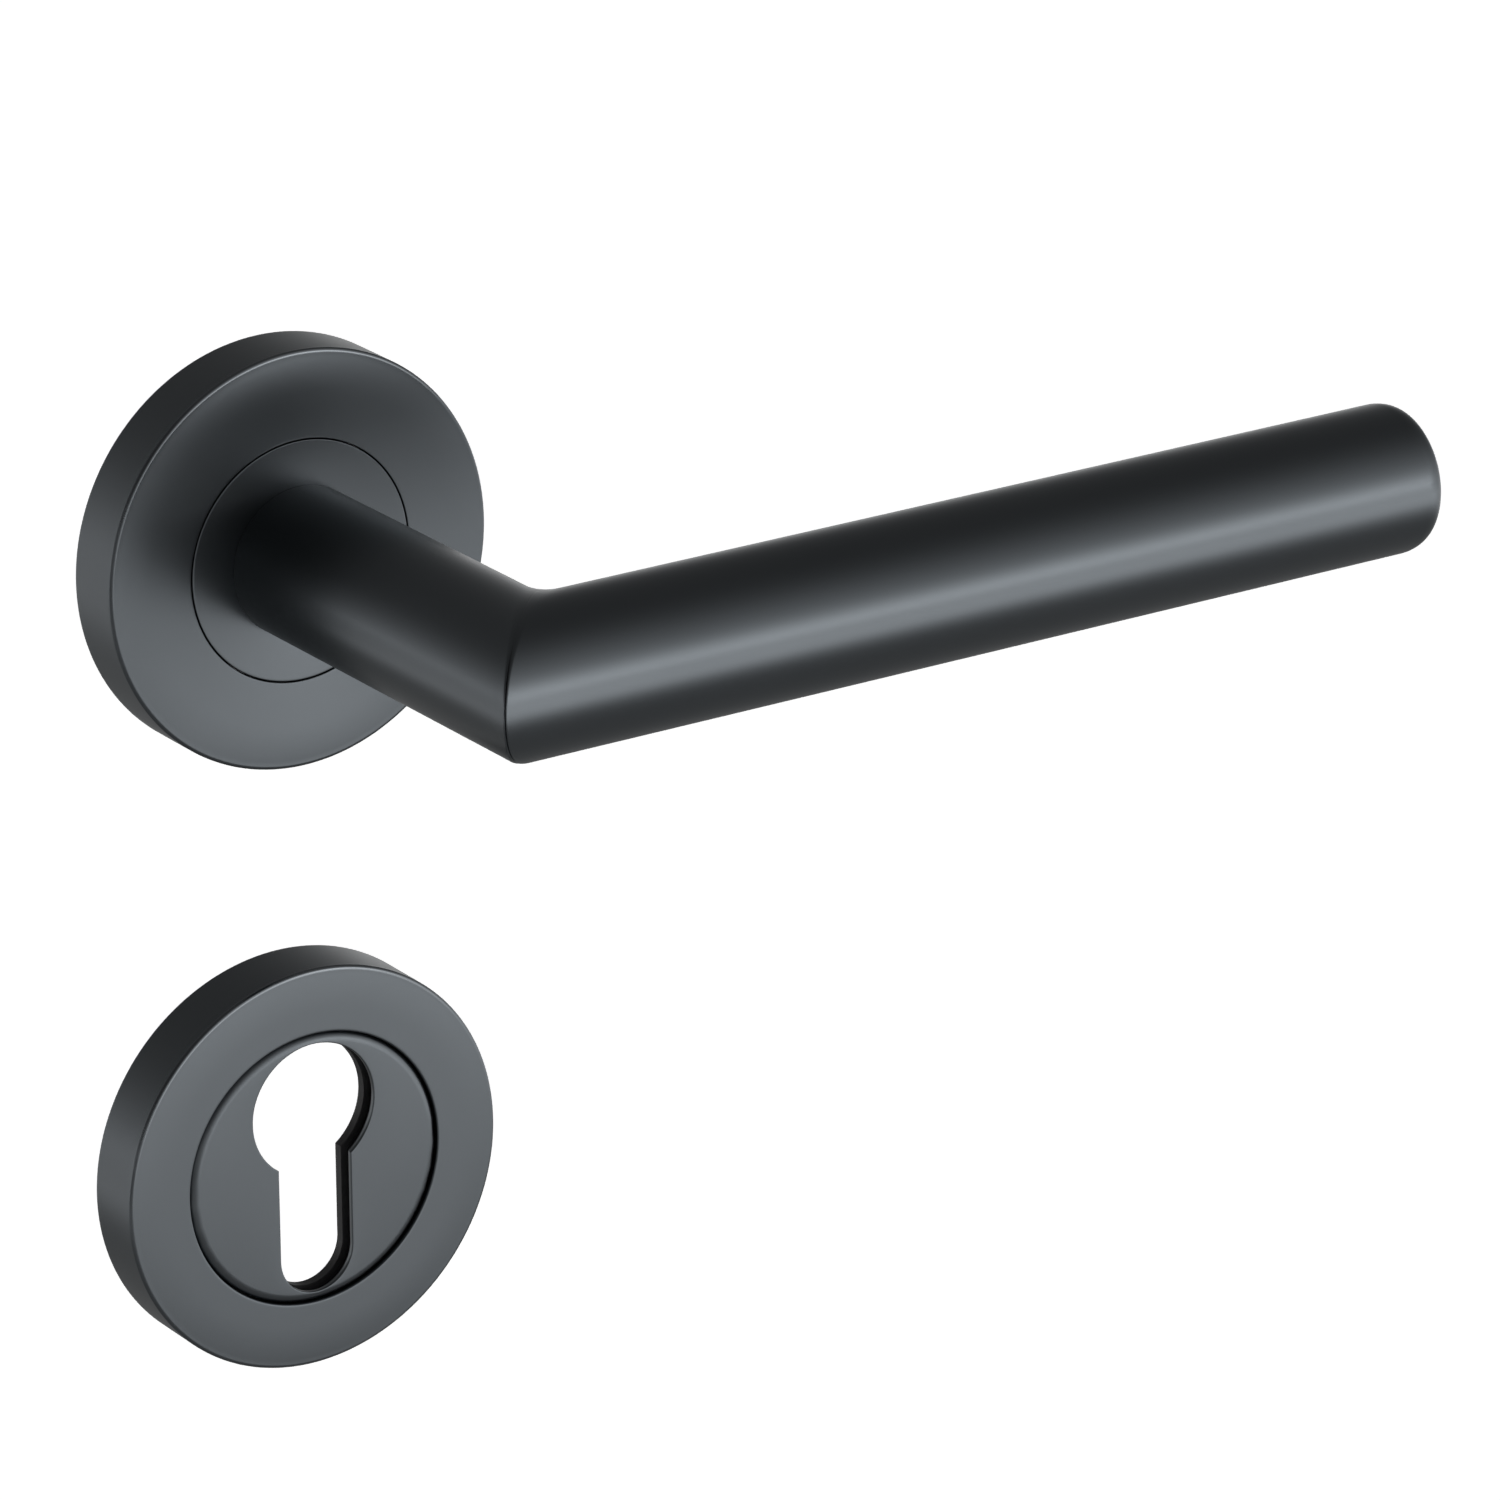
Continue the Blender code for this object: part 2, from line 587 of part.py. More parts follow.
def make_lever(frame, black, steel):
    neck = mitred_tube("lever_neck", GRIP_HEIGHT - ROSE_DEPTH - FIT, NECK_FOOT_ROUND, frame, black)
    neck.rotation_euler = (math.pi, 0.0, 0.0)
    grip_end = LEVER_LENGTH - TUBE_RADIUS - PLUG_CROWN
    grip = mitred_tube("lever_grip", grip_end, min(GRIP_END_ROUND, TUBE_WALL - GRIP_END_LAND), frame, black)
    grip.rotation_euler = (0.0, math.pi / 2, 0.0)
    plug_radius = TUBE_BORE - FIT
    shares = (1.0, 0.75, 0.5, 0.25, 0.0)
    crown = [(plug_radius * share, grip_end + PLUG_CROWN * (1 - share**2)) for share in shares]
    plug = turned("grip_end_plug", [
        (0.0, grip_end - PLUG_LENGTH),
        (plug_radius - HUB_CHAMFER, grip_end - PLUG_LENGTH),
        (plug_radius, grip_end - PLUG_LENGTH + HUB_CHAMFER),
        *crown,
    ], frame, black, TUBE_SIDES)
    plug.location = (0.0, 0.0, GRIP_HEIGHT)
    plug.rotation_euler = (0.0, math.pi / 2, 0.0)

    turned("neck_collar", [
        (ON_HUB, COLLAR_BACK),
        (COLLAR_RADIUS, COLLAR_BACK),
        (COLLAR_RADIUS, ROSE_DEPTH, COLLAR_EDGE),
        (ON_HUB, ROSE_DEPTH),
    ], frame, black)

    grub_radius = GRUB_DIAMETER / 2
    grub_bore = rod("grub_bore", grub_radius + FIT, SPINDLE_SIDE / 2 - CUT, TUBE_RADIUS + CUT, frame)
    grub_start = SPINDLE_SIDE / 2 + FIT
    grub_end = TUBE_RADIUS - FIT
    grub = turned("grub_screw", [
        (0.0, grub_start),
        (grub_radius - GRUB_TIP, grub_start),
        (grub_radius, grub_start + GRUB_TIP),
        (grub_radius, grub_end),
        (0.0, grub_end),
    ], frame, steel, SMALL_SIDES)
    key = rod("grub_key", GRUB_KEY / math.sqrt(3), grub_end - GRUB_KEY_DEPTH, grub_end + CUT, frame, sides=6)
    cut(grub, key)
    for piece in (grub_bore, grub, key):
        piece.location = (0.0, 0.0, GRUB_HEIGHT)
        piece.rotation_euler = (math.pi / 2, 0.0, 0.0)
    cut(neck, grub_bore)
    return grub_bore


def make_hub(frame, grub_bore, steel):
    groove_front = RING_FRONT + FIT
    groove_back = RING_BACK - FIT
    groove_radius = HUB_FLAT
    hub = turned("neck_hub", [
        (0.0, HUB_BACK),
        (HUB_RADIUS - HUB_CHAMFER, HUB_BACK),
        (HUB_RADIUS, HUB_BACK + HUB_CHAMFER),
        (HUB_RADIUS, groove_back),
        (groove_radius, groove_back),
        (groove_radius, groove_front),
        (HUB_RADIUS, groove_front),
        (HUB_RADIUS, HUB_HEIGHT - HUB_CHAMFER),
        (HUB_RADIUS - HUB_CHAMFER, HUB_HEIGHT),
        (0.0, HUB_HEIGHT),
    ], frame, steel, INNER_SIDES)
    socket = prism("hub_socket", square(SPINDLE_SIDE + 2 * SOCKET_PLAY),
                   HUB_BACK - CUT, SPINDLE_IN_HUB + FIT, frame)
    cut(hub, socket, grub_bore)
    flat_front = (DRIVER_FRONT + WEB_BACK) / 2
    for side in (-1, 1):
        outline = [(side * HUB_FLAT, -HUB_RADIUS - CUT), (side * (HUB_RADIUS + CUT), -HUB_RADIUS - CUT),
                   (side * (HUB_RADIUS + CUT), HUB_RADIUS + CUT), (side * HUB_FLAT, HUB_RADIUS + CUT)]
        cut(hub, prism(f"hub_flat_{'left' if side < 0 else 'right'}", outline,
                       HUB_BACK - CUT, flat_front, frame))

    half = SPINDLE_SIDE / 2
    lip = half - SPINDLE_CHAMFER
    bar = [(-half, -lip), (-lip, -half), (lip, -half), (half, -lip),
           (half, lip), (lip, half), (-lip, half), (-half, lip)]
    prism("spindle", bar, -SPINDLE_BEHIND, SPINDLE_IN_HUB, frame, steel, SPINDLE_END_CHAMFER)

    turned("thrust_washer", [
        (ON_HUB, -FIT - WASHER_THICKNESS),
        (ON_HUB + WASHER_WIDTH, -FIT - WASHER_THICKNESS),
        (ON_HUB + WASHER_WIDTH, -FIT),
        (ON_HUB, -FIT),
    ], frame, steel, INNER_SIDES)
    ring_inside = groove_radius + FIT
    ring = prism("retaining_ring", circlip(ring_inside), RING_BACK, RING_FRONT, frame, steel)
    for side, word in ((-1, "left"), (1, "right")):
        eye_place = at_angle(ring_inside + RING_EYE / 2, side * RING_OPENING / 2 - math.pi / 2)
        cut(ring, rod(f"ring_eye_{word}", RING_EYE_HOLE / 2, RING_BACK - CUT, RING_FRONT + CUT, frame,
                      eye_place, sides=WIRE_SIDES))


def make_spring_drive(lever_frame, rose_frame, steel, spring_steel):
    """Driver on the hub, with the spring that lifts it and the pin that stops it."""
    driver = turned("spring_driver", [
        (0.0, CHAMBER_BACK),
        (DRIVER_RADIUS, CHAMBER_BACK),
        (DRIVER_RADIUS, DRIVER_FRONT),
        (0.0, DRIVER_FRONT),
    ], lever_frame, steel, INNER_SIDES)
    bore = prism("driver_bore", double_d(ON_HUB, HUB_FLAT + FIT), CHAMBER_BACK - CUT, DRIVER_FRONT + CUT,
                 lever_frame)
    play = math.asin((STOP_PIN_RADIUS + FIT) / STOP_PIN_PLACE)
    notch = turned("driver_notch", [
        (NOTCH_FLOOR, CHAMBER_BACK - CUT),
        (DRIVER_RADIUS + CUT, CHAMBER_BACK - CUT),
        (DRIVER_RADIUS + CUT, DRIVER_FRONT + CUT),
        (NOTCH_FLOOR, DRIVER_FRONT + CUT),
    ], lever_frame, sides=SMALL_SIDES, start=STOP_PIN_ANGLE - play, sweep=TURN_RANGE + 2 * play)
    tang_end = SPRING_START - SPRING_STRIP / 2 - SPRING_TANG
    slot = prism("driver_slot",
                 radial_box(tang_end - FIT, DRIVER_RADIUS + CUT, SPRING_STRIP + 2 * FIT, SPRING_INNER_ANGLE),
                 CHAMBER_BACK - CUT, DRIVER_FRONT + CUT, lever_frame)
    cut(driver, bore, notch, slot)

    path = spring_path()
    ribbon("return_spring", path, SPRING_STRIP, CHAMBER_BACK + SPRING_SIDE_PLAY,
           DRIVER_FRONT - SPRING_SIDE_PLAY, rose_frame, spring_steel)
    gap = least_gap(path, SPRING_STRIP, apart=SPRING_POINTS // 2)
    print(f"return_spring: least gap between turns {gap / MM:.2f} mm")

    pin = turned("stop_pin", [
        (0.0, FIT),
        (STOP_PIN_RADIUS, FIT),
        (STOP_PIN_RADIUS, DRIVER_FRONT),
        (0.0, DRIVER_FRONT),
    ], rose_frame, steel, SMALL_SIDES)
    pin.location = (*at_angle(STOP_PIN_PLACE, STOP_PIN_ANGLE), 0.0)


def make_rose(frame, black, zinc, nylon, steel, spring_steel):
    cap("rose_cover", COLLAR_HOLE, frame, black)
    snap_ring("rose_snap_ring", frame, spring_steel)

    turned("bearing_bush", [
        (ON_HUB, WEB_BACK),
        (BUSH_RADIUS, WEB_BACK),
        (BUSH_RADIUS, FLANGE_BACK),
        (COLLAR_RADIUS, FLANGE_BACK),
        (COLLAR_RADIUS, FLANGE_FRONT),
        (ON_HUB, FLANGE_FRONT),
    ], frame, nylon, LARGE_SIDES)

    bush_bore = BUSH_RADIUS + FIT
    base = turned("rose_base_plate", [
        (bush_bore, WEB_BACK),
        (CHAMBER_RADIUS, WEB_BACK),
        (CHAMBER_RADIUS, 0.0),
        *base_edge(),
        (COLLAR_HOLE, BASE_FRONT),
        (COLLAR_HOLE, WEB_FRONT),
        (bush_bore, WEB_FRONT),
    ], frame, zinc)
    add_lugs(base, frame)
    recess = prism("plate_recess", eared_disc(PLATE_RADIUS + FIT, PLATE_EAR_RADIUS + FIT),
                   -CUT / 2, CHAMBER_BACK, frame)
    outer_angle = SPRING_INNER_ANGLE + math.tau * SPRING_TURNS
    anchor = prism("spring_anchor",
                   radial_box(CHAMBER_RADIUS - CUT, SPRING_ANCHOR + FIT, SPRING_STRIP + 2 * FIT, outer_angle),
                   PLATE_THICKNESS, DRIVER_FRONT, frame)
    cut(base, recess, anchor)
    hollow_back(base, max(PLATE_RADIUS, SPRING_ANCHOR) + FIT + CORE_WALL, PLATE_EAR_RADIUS + FIT,
                PLATE_EAR_PLACE, frame)

    plate = prism("spring_plate", eared_disc(PLATE_RADIUS, PLATE_EAR_RADIUS),
                  0.0, PLATE_THICKNESS, frame, steel)
    hub_hole = rod("plate_hub_hole", ON_HUB, -CUT, PLATE_THICKNESS + CUT, frame, sides=INNER_SIDES)
    pin_hole = rod("plate_pin_hole", STOP_PIN_RADIUS + FIT, -CUT, PLATE_THICKNESS + CUT, frame,
                   at_angle(STOP_PIN_PLACE, STOP_PIN_ANGLE))
    cut(plate, hub_hole, pin_hole)
    for side, word in ((1, "top"), (-1, "bottom")):
        add_plate_screw(word, side * PLATE_EAR_PLACE, base, plate, frame, steel)


def add_plate_screw(word, height, base, plate, frame, steel):
    """Countersunk screw through an ear of the spring plate into the base."""
    shank = PLATE_SCREW_DIAMETER / 2
    head = PLATE_SCREW_HEAD / 2
    cone = head - shank
    screw = turned(f"spring_plate_screw_{word}", [
        (0.0, 0.0),
        (head, 0.0),
        (shank, cone),
        (shank, PLATE_SCREW_LENGTH),
        (0.0, PLATE_SCREW_LENGTH),
    ], frame, steel, SMALL_SIDES)
    slot = PLATE_SCREW_SLOT / 2
    drive = prism(f"screw_slot_{word}",
                  [(-head - CUT, -slot), (head + CUT, -slot), (head + CUT, slot), (-head - CUT, slot)],
                  -CUT, PLATE_SCREW_SLOT_DEPTH, frame)
    hole = turned(f"plate_screw_hole_{word}", [
        (0.0, -FIT),
        (head + 2 * FIT, -FIT),
        (shank + FIT, cone),
        (shank + FIT, PLATE_SCREW_LENGTH + FIT),
        (0.0, PLATE_SCREW_LENGTH + FIT),
    ], frame, sides=SMALL_SIDES)
    for piece in (screw, drive, hole):
        piece.location = (0.0, height, 0.0)
    cut(screw, drive)
    cut(plate, hole)
    cut(base, hole)


def make_escutcheon(frame, black, nylon, spring_steel):
    cap("escutcheon_cover", KEYHOLE_PLATE_RADIUS + KEYHOLE_PLATE_GAP, frame, black)
    snap_ring("escutcheon_snap_ring", frame, spring_steel)

    plate = turned("keyhole_plate", [
        (0.0, KEYHOLE_PLATE_BACK),
        (KEYHOLE_PLATE_RADIUS, KEYHOLE_PLATE_BACK),
        (KEYHOLE_PLATE_RADIUS, KEYHOLE_PLATE_FRONT, KEYHOLE_PLATE_EDGE),
        (0.0, KEYHOLE_PLATE_FRONT),
    ], frame, black)
    cut(plate, prism("keyhole_cut", keyhole(), KEYHOLE_PLATE_BACK - CUT, KEYHOLE_PLATE_FRONT + CUT, frame))

    seat = KEYHOLE_PLATE_BACK - FIT
    pocket_ceiling = seat - ESCUTCHEON_WEB
    pocket = KEYHOLE_HEIGHT / 2 + ESCUTCHEON_POCKET_MARGIN
    rim = KEYHOLE_PLATE_RADIUS + KEYHOLE_PLATE_GAP + FIT
    base = turned("escutcheon_base", [
        (0.0, pocket_ceiling),
        (pocket, pocket_ceiling),
        (pocket, 0.0),
        *base_edge(),
        (rim, BASE_FRONT),
        (rim, seat),
        (0.0, seat),
    ], frame, nylon)
    add_lugs(base, frame)
    relief = CYLINDER_RELIEF_WIDTH / 2
    relief_foot = -KEYHOLE_HEIGHT / 2 - CYLINDER_RELIEF_DROP
    relief_outline = [(-relief, relief_foot), (relief, relief_foot), (relief, 0.0), (-relief, 0.0)]
    cut(base,
        prism("base_keyhole_cut", keyhole(KEYHOLE_STEP), -LUG_LENGTH, seat + CUT, frame),
        prism("cylinder_relief", relief_outline, -CUT, pocket_ceiling, frame))
    hollow_back(base, pocket + CORE_WALL, 0.0, WOOD_SCREW_PLACE, frame)


def main():
    clear_scene()
    black = finish("satin_black_metal", (0.10, 0.105, 0.112), 1.0, 0.32)
    zinc = finish("cast_zinc", (0.42, 0.43, 0.44), 1.0, 0.5)
    steel = finish("plated_steel", (0.55, 0.56, 0.58), 1.0, 0.35)
    spring_steel = finish("spring_steel", (0.20, 0.20, 0.21), 1.0, 0.4)
    nylon = finish("black_nylon", (0.025, 0.025, 0.027), 0.0, 0.5)

    rose_frame = door_frame("rose_frame")
    lever_frame = door_frame("lever_axis")
    escutcheon_frame = door_frame("escutcheon_frame", -ESCUTCHEON_DROP)

    grub_bore = make_lever(lever_frame, black, steel)
    make_hub(lever_frame, grub_bore, steel)
    make_spring_drive(lever_frame, rose_frame, steel, spring_steel)
    make_rose(rose_frame, black, zinc, nylon, steel, spring_steel)
    make_escutcheon(escutcheon_frame, black, nylon, spring_steel)


main()
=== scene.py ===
import json
import math

import bmesh
import bpy
from mathutils import Matrix, Vector


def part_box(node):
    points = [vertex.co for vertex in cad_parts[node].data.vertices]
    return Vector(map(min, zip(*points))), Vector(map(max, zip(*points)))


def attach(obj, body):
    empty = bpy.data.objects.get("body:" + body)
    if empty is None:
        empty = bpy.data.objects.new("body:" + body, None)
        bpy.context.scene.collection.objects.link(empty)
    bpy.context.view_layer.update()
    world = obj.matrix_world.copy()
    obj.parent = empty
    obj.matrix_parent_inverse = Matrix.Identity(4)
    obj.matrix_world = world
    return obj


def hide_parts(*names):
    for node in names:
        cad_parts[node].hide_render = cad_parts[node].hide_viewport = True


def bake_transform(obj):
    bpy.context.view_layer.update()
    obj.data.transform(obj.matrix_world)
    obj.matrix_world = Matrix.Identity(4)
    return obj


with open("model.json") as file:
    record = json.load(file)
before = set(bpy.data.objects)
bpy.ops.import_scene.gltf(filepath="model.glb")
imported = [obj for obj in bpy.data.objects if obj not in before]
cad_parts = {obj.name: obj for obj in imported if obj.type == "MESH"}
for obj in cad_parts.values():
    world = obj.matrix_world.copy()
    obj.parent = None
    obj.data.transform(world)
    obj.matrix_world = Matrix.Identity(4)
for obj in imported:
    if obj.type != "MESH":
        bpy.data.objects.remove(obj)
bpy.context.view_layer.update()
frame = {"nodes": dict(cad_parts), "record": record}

mm = 0.001
quarterTurn = math.pi / 2
bodies = frame["record"]["behaviour"]["bodies"]
bodyOf = {node: body for body, nodes in bodies.items() for node in nodes}
slotOf = {row["node"]: row["material_slot"] for row in frame["record"]["subparts"]}
print("frame loaded:", len(frame["nodes"]), "nodes")


# Shader maths: a socket that can be added, scaled and so on
class Wire:
    def __init__(self, graph, socket):
        self.graph = graph
        self.socket = socket

    def sum(self, operation, first, second):
        return self.graph.add("Math", {"operation": operation}, {0: first, 1: second})

    def __add__(self, other):
        return self.sum("ADD", self, other)

    def __radd__(self, other):
        return self.sum("ADD", other, self)

    def __sub__(self, other):
        return self.sum("SUBTRACT", self, other)

    def __rsub__(self, other):
        return self.sum("SUBTRACT", other, self)

    def __mul__(self, other):
        return self.sum("MULTIPLY", self, other)

    def __rmul__(self, other):
        return self.sum("MULTIPLY", other, self)

    def __truediv__(self, other):
        return self.sum("DIVIDE", self, other)

    def __rtruediv__(self, other):
        return self.sum("DIVIDE", other, self)

    def __pow__(self, other):
        return self.sum("POWER", self, other)

    def __rpow__(self, other):
        return self.sum("POWER", other, self)

    def most(self, other):
        return self.sum("MAXIMUM", self, other)


class Graph:
    def __init__(self, owner):
        owner.use_nodes = True
        self.tree = owner.node_tree
        self.tree.nodes.clear()

    def feed(self, socket, value):
        if isinstance(value, Wire):
            self.tree.links.new(value.socket, socket)
        else:
            socket.default_value = value

    # one node: its type, its settings first, then its sockets' values or links
    def add(self, kind, settings=None, sockets=None, out=0):
        made = self.tree.nodes.new("ShaderNode" + kind)
        for key, value in (settings or {}).items():
            if key == "stops":
                self.setStops(made.color_ramp, value)
            else:
                setattr(made, key, value)
        for key, value in (sockets or {}).items():
            self.feed(made.inputs[key], value)
        return Wire(self, made.outputs[out]) if made.outputs else made

    def setStops(self, ramp, stops):
        while len(ramp.elements) < len(stops):
            ramp.elements.new(1.0)
        for element, (place, colour) in zip(ramp.elements, stops):
            element.position = place
            element.color = colour

    def blend(self, factor, first, second):
        return self.add("Mix", {"data_type": "RGBA"}, {0: factor, 6: first, 7: second}, 2)

    def vector(self, operation, *values, out=0):
        return self.add("VectorMath", {"operation": operation}, dict(enumerate(values)), out)

    # scale is in waves per metre
    def noise(self, place, scale, detail=2.0, roughness=0.5):
        return self.add("TexNoise", None, {
            "Vector": place, "Scale": scale, "Detail": detail, "Roughness": roughness,
        })

    # height is in metres
    def bump(self, height):
        return self.add("Bump", None, {"Strength": 1.0, "Distance": 1.0, "Height": height})

    def surface(self, shader):
        self.add("OutputMaterial", None, {"Surface": shader})


def grey(value):
    return (value, value, value, 1.0)


# a new material with its graph and the place on the piece
def newMaterial(name):
    material = bpy.data.materials.new(name)
    g = Graph(material)
    return material, g, g.add("TexCoord", out="Object")


# a value that noise, whose middle is 0.5, moves up and down
def swung(middle, noise, swing):
    return middle + (noise - 0.5) * swing


# Finishes
satinBlackLook = {
    "deep": (0.1235, 0.1355, 0.1455, 1.0),
    "pale": (0.1350, 0.1480, 0.1590, 1.0),
    "cloud": {"scale": 45.0, "detail": 3.0},
    "roughness": 0.30,
    "faceRoughness": 0.32,  # of the caps
    "turning": 0.7,  # how far fine marks on the rose and collar stretch their gloss round the middle
    "edge": (0.20, 0.215, 0.23, 1.0),  # painted highlight: lighter colour on the turned front edges, brightest towards the top where light catches them
    "edgeRoughness": 0.16,
    "glossAndHighlightMark": "turnedEdge",  # the mesh attribute that says where the glossier edges and their painted highlight are
    "roughnessSwing": 0.05,
    "grain": {"scale": 2600.0, "detail": 2.0, "roughness": 0.6},
    "grainHeight": 0.0012 * mm,
    "peel": {"scale": 480.0, "detail": 1.0},  # the coat's slight orange peel
    "peelHeight": 0.0010 * mm,
}


def makeSatinBlack(name, roughness, turning=0.0):
    look = satinBlackLook
    material, g, place = newMaterial(name)
    cloud = g.noise(place, **look["cloud"])
    grain = g.noise(place, **look["grain"])
    peel = g.noise(place, **look["peel"])
    # the mask for the glossier edges and their painted highlight
    edge = g.add("Attribute", {"attribute_name": look["glossAndHighlightMark"]}, out="Fac")
    plain = swung(roughness, grain, look["roughnessSwing"])
    g.surface(g.add("BsdfPrincipled", None, {
        # a lighter colour where the mask is: painted highlight
        "Base Color": g.blend(edge, g.blend(cloud, look["deep"], look["pale"]), look["edge"]),
        "Metallic": 1.0,
        "Anisotropic": turning,
        "Roughness": plain * (1 - edge) + edge * look["edgeRoughness"],
        "Normal": g.bump(grain * look["grainHeight"] + peel * look["peelHeight"]),
    }))
    return material


platedSteelLook = {
    "plain": (0.50, 0.51, 0.53, 1.0),
    "warm": (0.56, 0.545, 0.50, 1.0),
    "cool": (0.47, 0.50, 0.56, 1.0),
    "warmth": {"scale": 160.0, "detail": 3.0},
    "coolness": {"scale": 96.0, "detail": 2.0},
    "spangle": {"scale": 900.0, "detail": 3.0, "roughness": 0.6},
    "spangleHeight": 0.003 * mm,
    "roughness": 0.30,
    "roughnessSwing": 0.14,
}


def makePlatedSteel():
    look = platedSteelLook
    material, g, place = newMaterial("zincPlatedSteel")
    spangle = g.noise(place, **look["spangle"])
    colour = g.blend(g.noise(place, **look["warmth"]), look["plain"], look["warm"])
    g.surface(g.add("BsdfPrincipled", None, {
        "Base Color": g.blend(g.noise(place, **look["coolness"]), colour, look["cool"]),
        "Metallic": 1.0,
        "Roughness": swung(look["roughness"], spangle, look["roughnessSwing"]),
        "Normal": g.bump(spangle * look["spangleHeight"]),
    }))
    return material


springSteelLook = {
    "blued": (0.105, 0.108, 0.120, 1.0),
    "brown": (0.135, 0.120, 0.108, 1.0),
    "cloud": {"scale": 220.0, "detail": 4.0, "roughness": 0.6},
    "grain": {"scale": 1800.0, "detail": 2.0},
    "grainHeight": 0.002 * mm,
    "roughness": 0.36,
    "roughnessSwing": 0.12,
}


def makeSpringSteel():
    look = springSteelLook
    material, g, place = newMaterial("blackenedSpringSteel")
    grain = g.noise(place, **look["grain"])
    g.surface(g.add("BsdfPrincipled", None, {
        "Base Color": g.blend(g.noise(place, **look["cloud"]), look["blued"], look["brown"]),
        "Metallic": 1.0,
        "Roughness": swung(look["roughness"], grain, look["roughnessSwing"]),
        "Normal": g.bump(grain * look["grainHeight"]),
    }))
    return material


castZincLook = {
    "dull": (0.36, 0.37, 0.385, 1.0),
    "bright": (0.50, 0.505, 0.515, 1.0),
    "flow": {"scale": 70.0, "detail": 4.0, "roughness": 0.55},
    "flowStretch": (1.0, 1.0, 0.35),  # the flow marks run upwards
    "grain": {"scale": 1300.0, "detail": 3.0, "roughness": 0.6},
    "grainHeight": 0.010 * mm,
    "roughness": 0.46,
    "roughnessSwing": 0.16,
}


def makeCastZinc():
    look = castZincLook
    material, g, place = newMaterial("dieCastZinc")
    flow = g.noise(g.vector("MULTIPLY", place, look["flowStretch"]), **look["flow"])
    grain = g.noise(place, **look["grain"])
    g.surface(g.add("BsdfPrincipled", None, {
        "Base Color": g.blend(flow, look["dull"], look["bright"]),
        "Metallic": 1.0,
        "Roughness": swung(look["roughness"], grain, look["roughnessSwing"]),
        "Normal": g.bump(grain * look["grainHeight"]),
    }))
    return material


blackNylonLook = {
    "deep": (0.016, 0.016, 0.017, 1.0),
    "pale": (0.030, 0.030, 0.031, 1.0),
    "fibre": {"scale": 500.0, "detail": 3.0, "roughness": 0.65},
    "fibreStretch": (0.25, 1.0, 1.0),  # the glass fibres lie along X
    "grain": {"scale": 1500.0, "detail": 2.0, "roughness": 0.6},
    "grainHeight": 0.008 * mm,
    "roughness": 0.52,
    "roughnessSwing": 0.14,
}


def makeBlackNylon():
    look = blackNylonLook
    material, g, place = newMaterial("glassFilledNylon")
    fibre = g.noise(g.vector("MULTIPLY", place, look["fibreStretch"]), **look["fibre"])
    grain = g.noise(place, **look["grain"])
    g.surface(g.add("BsdfPrincipled", None, {
        "Base Color": g.blend(fibre, look["deep"], look["pale"]),
        "Roughness": swung(look["roughness"], grain, look["roughnessSwing"]),
        "Normal": g.bump(grain * look["grainHeight"]),
    }))
    return material


finishes = {
    "satin_black": makeSatinBlack("satinBlackTube", satinBlackLook["roughness"]),
    "plated_steel": makePlatedSteel(),
    "spring_steel": makeSpringSteel(),
    "cast_zinc": makeCastZinc(),
    "black_nylon": makeBlackNylon(),
}
capFinish = makeSatinBlack("satinBlackCap", satinBlackLook["faceRoughness"])
turnedFinish = makeSatinBlack(
    "satinBlackTurned", satinBlackLook["faceRoughness"], satinBlackLook["turning"])
print("finishes made:", ", ".join(finishes))


# Shapes
meshLook = {
    "sides": 192,  # round a turned piece
    "arcSteps": 6,  # in one rounded corner
    "guard": 0.2 * mm,  # a loop this far beside a rounded corner keeps the flat next to it flat
    "guardShare": 0.3,  # of a short flat, at most
    "fineGuard": 0.06 * mm,  # beside a finer edge
    "touch": 0.02 * mm,  # points this near an edge belong to it
    "crease": math.radians(35),
    "level": math.radians(0.5),  # CAD faces this nearly level with each other are joined
    "weld": 1e-7,
    "cadWeld": 1e-6,
    "breakSteps": 2,  # in a broken edge
    "overrun": 1.0 * mm,  # how far a cutter runs past a face
}


# from 0 to 1 in equal steps
def shares(steps):
    return [i / steps for i in range(steps + 1)]


def polar(radius, angle):
    return radius * Vector((math.cos(angle), math.sin(angle)))


def roundAngles(sides=meshLook["sides"]):
    return [math.tau * i / sides for i in range(sides)]


# how far along a side the loop beside its rounded corner lies
def guardAt(reach, side):
    return reach + min(meshLook["guard"], meshLook["guardShare"] * (side.length - reach))


# outline through corners of (across, along) or (across, along, radius)
def rounded(corners):
    points = []
    for i, corner in enumerate(corners):
        here = Vector(corner[:2])
        if len(corner) == 2:
            points.append(here)
            continue
        radius = corner[2]
        toBack = Vector(corners[i - 1][:2]) - here
        toAhead = Vector(corners[(i + 1) % len(corners)][:2]) - here
        back, ahead = toBack.normalized(), toAhead.normalized()
        half = back.angle(ahead) / 2
        reach = radius / math.tan(half)
        centre = here + (back + ahead).normalized() * radius / math.sin(half)
        spoke = here + back * reach - centre
        last = here + ahead * reach - centre
        turn = math.atan2(spoke.cross(last), spoke.dot(last))
        points.append(here + back * guardAt(reach, toBack))
        for share in shares(meshLook["arcSteps"]):
            c, s = polar(1.0, turn * share)
            points.append(centre + Vector((c * spoke.x - s * spoke.y, s * spoke.x + c * spoke.y)))
        points.append(here + ahead * guardAt(reach, toAhead))
    return points


# skins rings of points; with a core each ring starts and ends on the axis,
# and with ends the first and the last ring are closed instead of joined
def skin(rings, core=False, ends=False, build=None):
    build = build or bmesh.new()
    loops = [[build.verts.new(point) for point in ring] for ring in rings]
    for i in range(1 if ends else 0, len(loops)):
        here, there = loops[i - 1], loops[i]
        for j in range(1 if core else 0, len(here)):
            build.faces.new((here[j - 1], here[j], there[j], there[j - 1]))
    if ends:
        build.faces.new(loops[0])
        build.faces.new(loops[-1])
    return build


# a closed bar between two loops of points
def bar(first, second, build=None):
    return skin([first, second], ends=True, build=build)


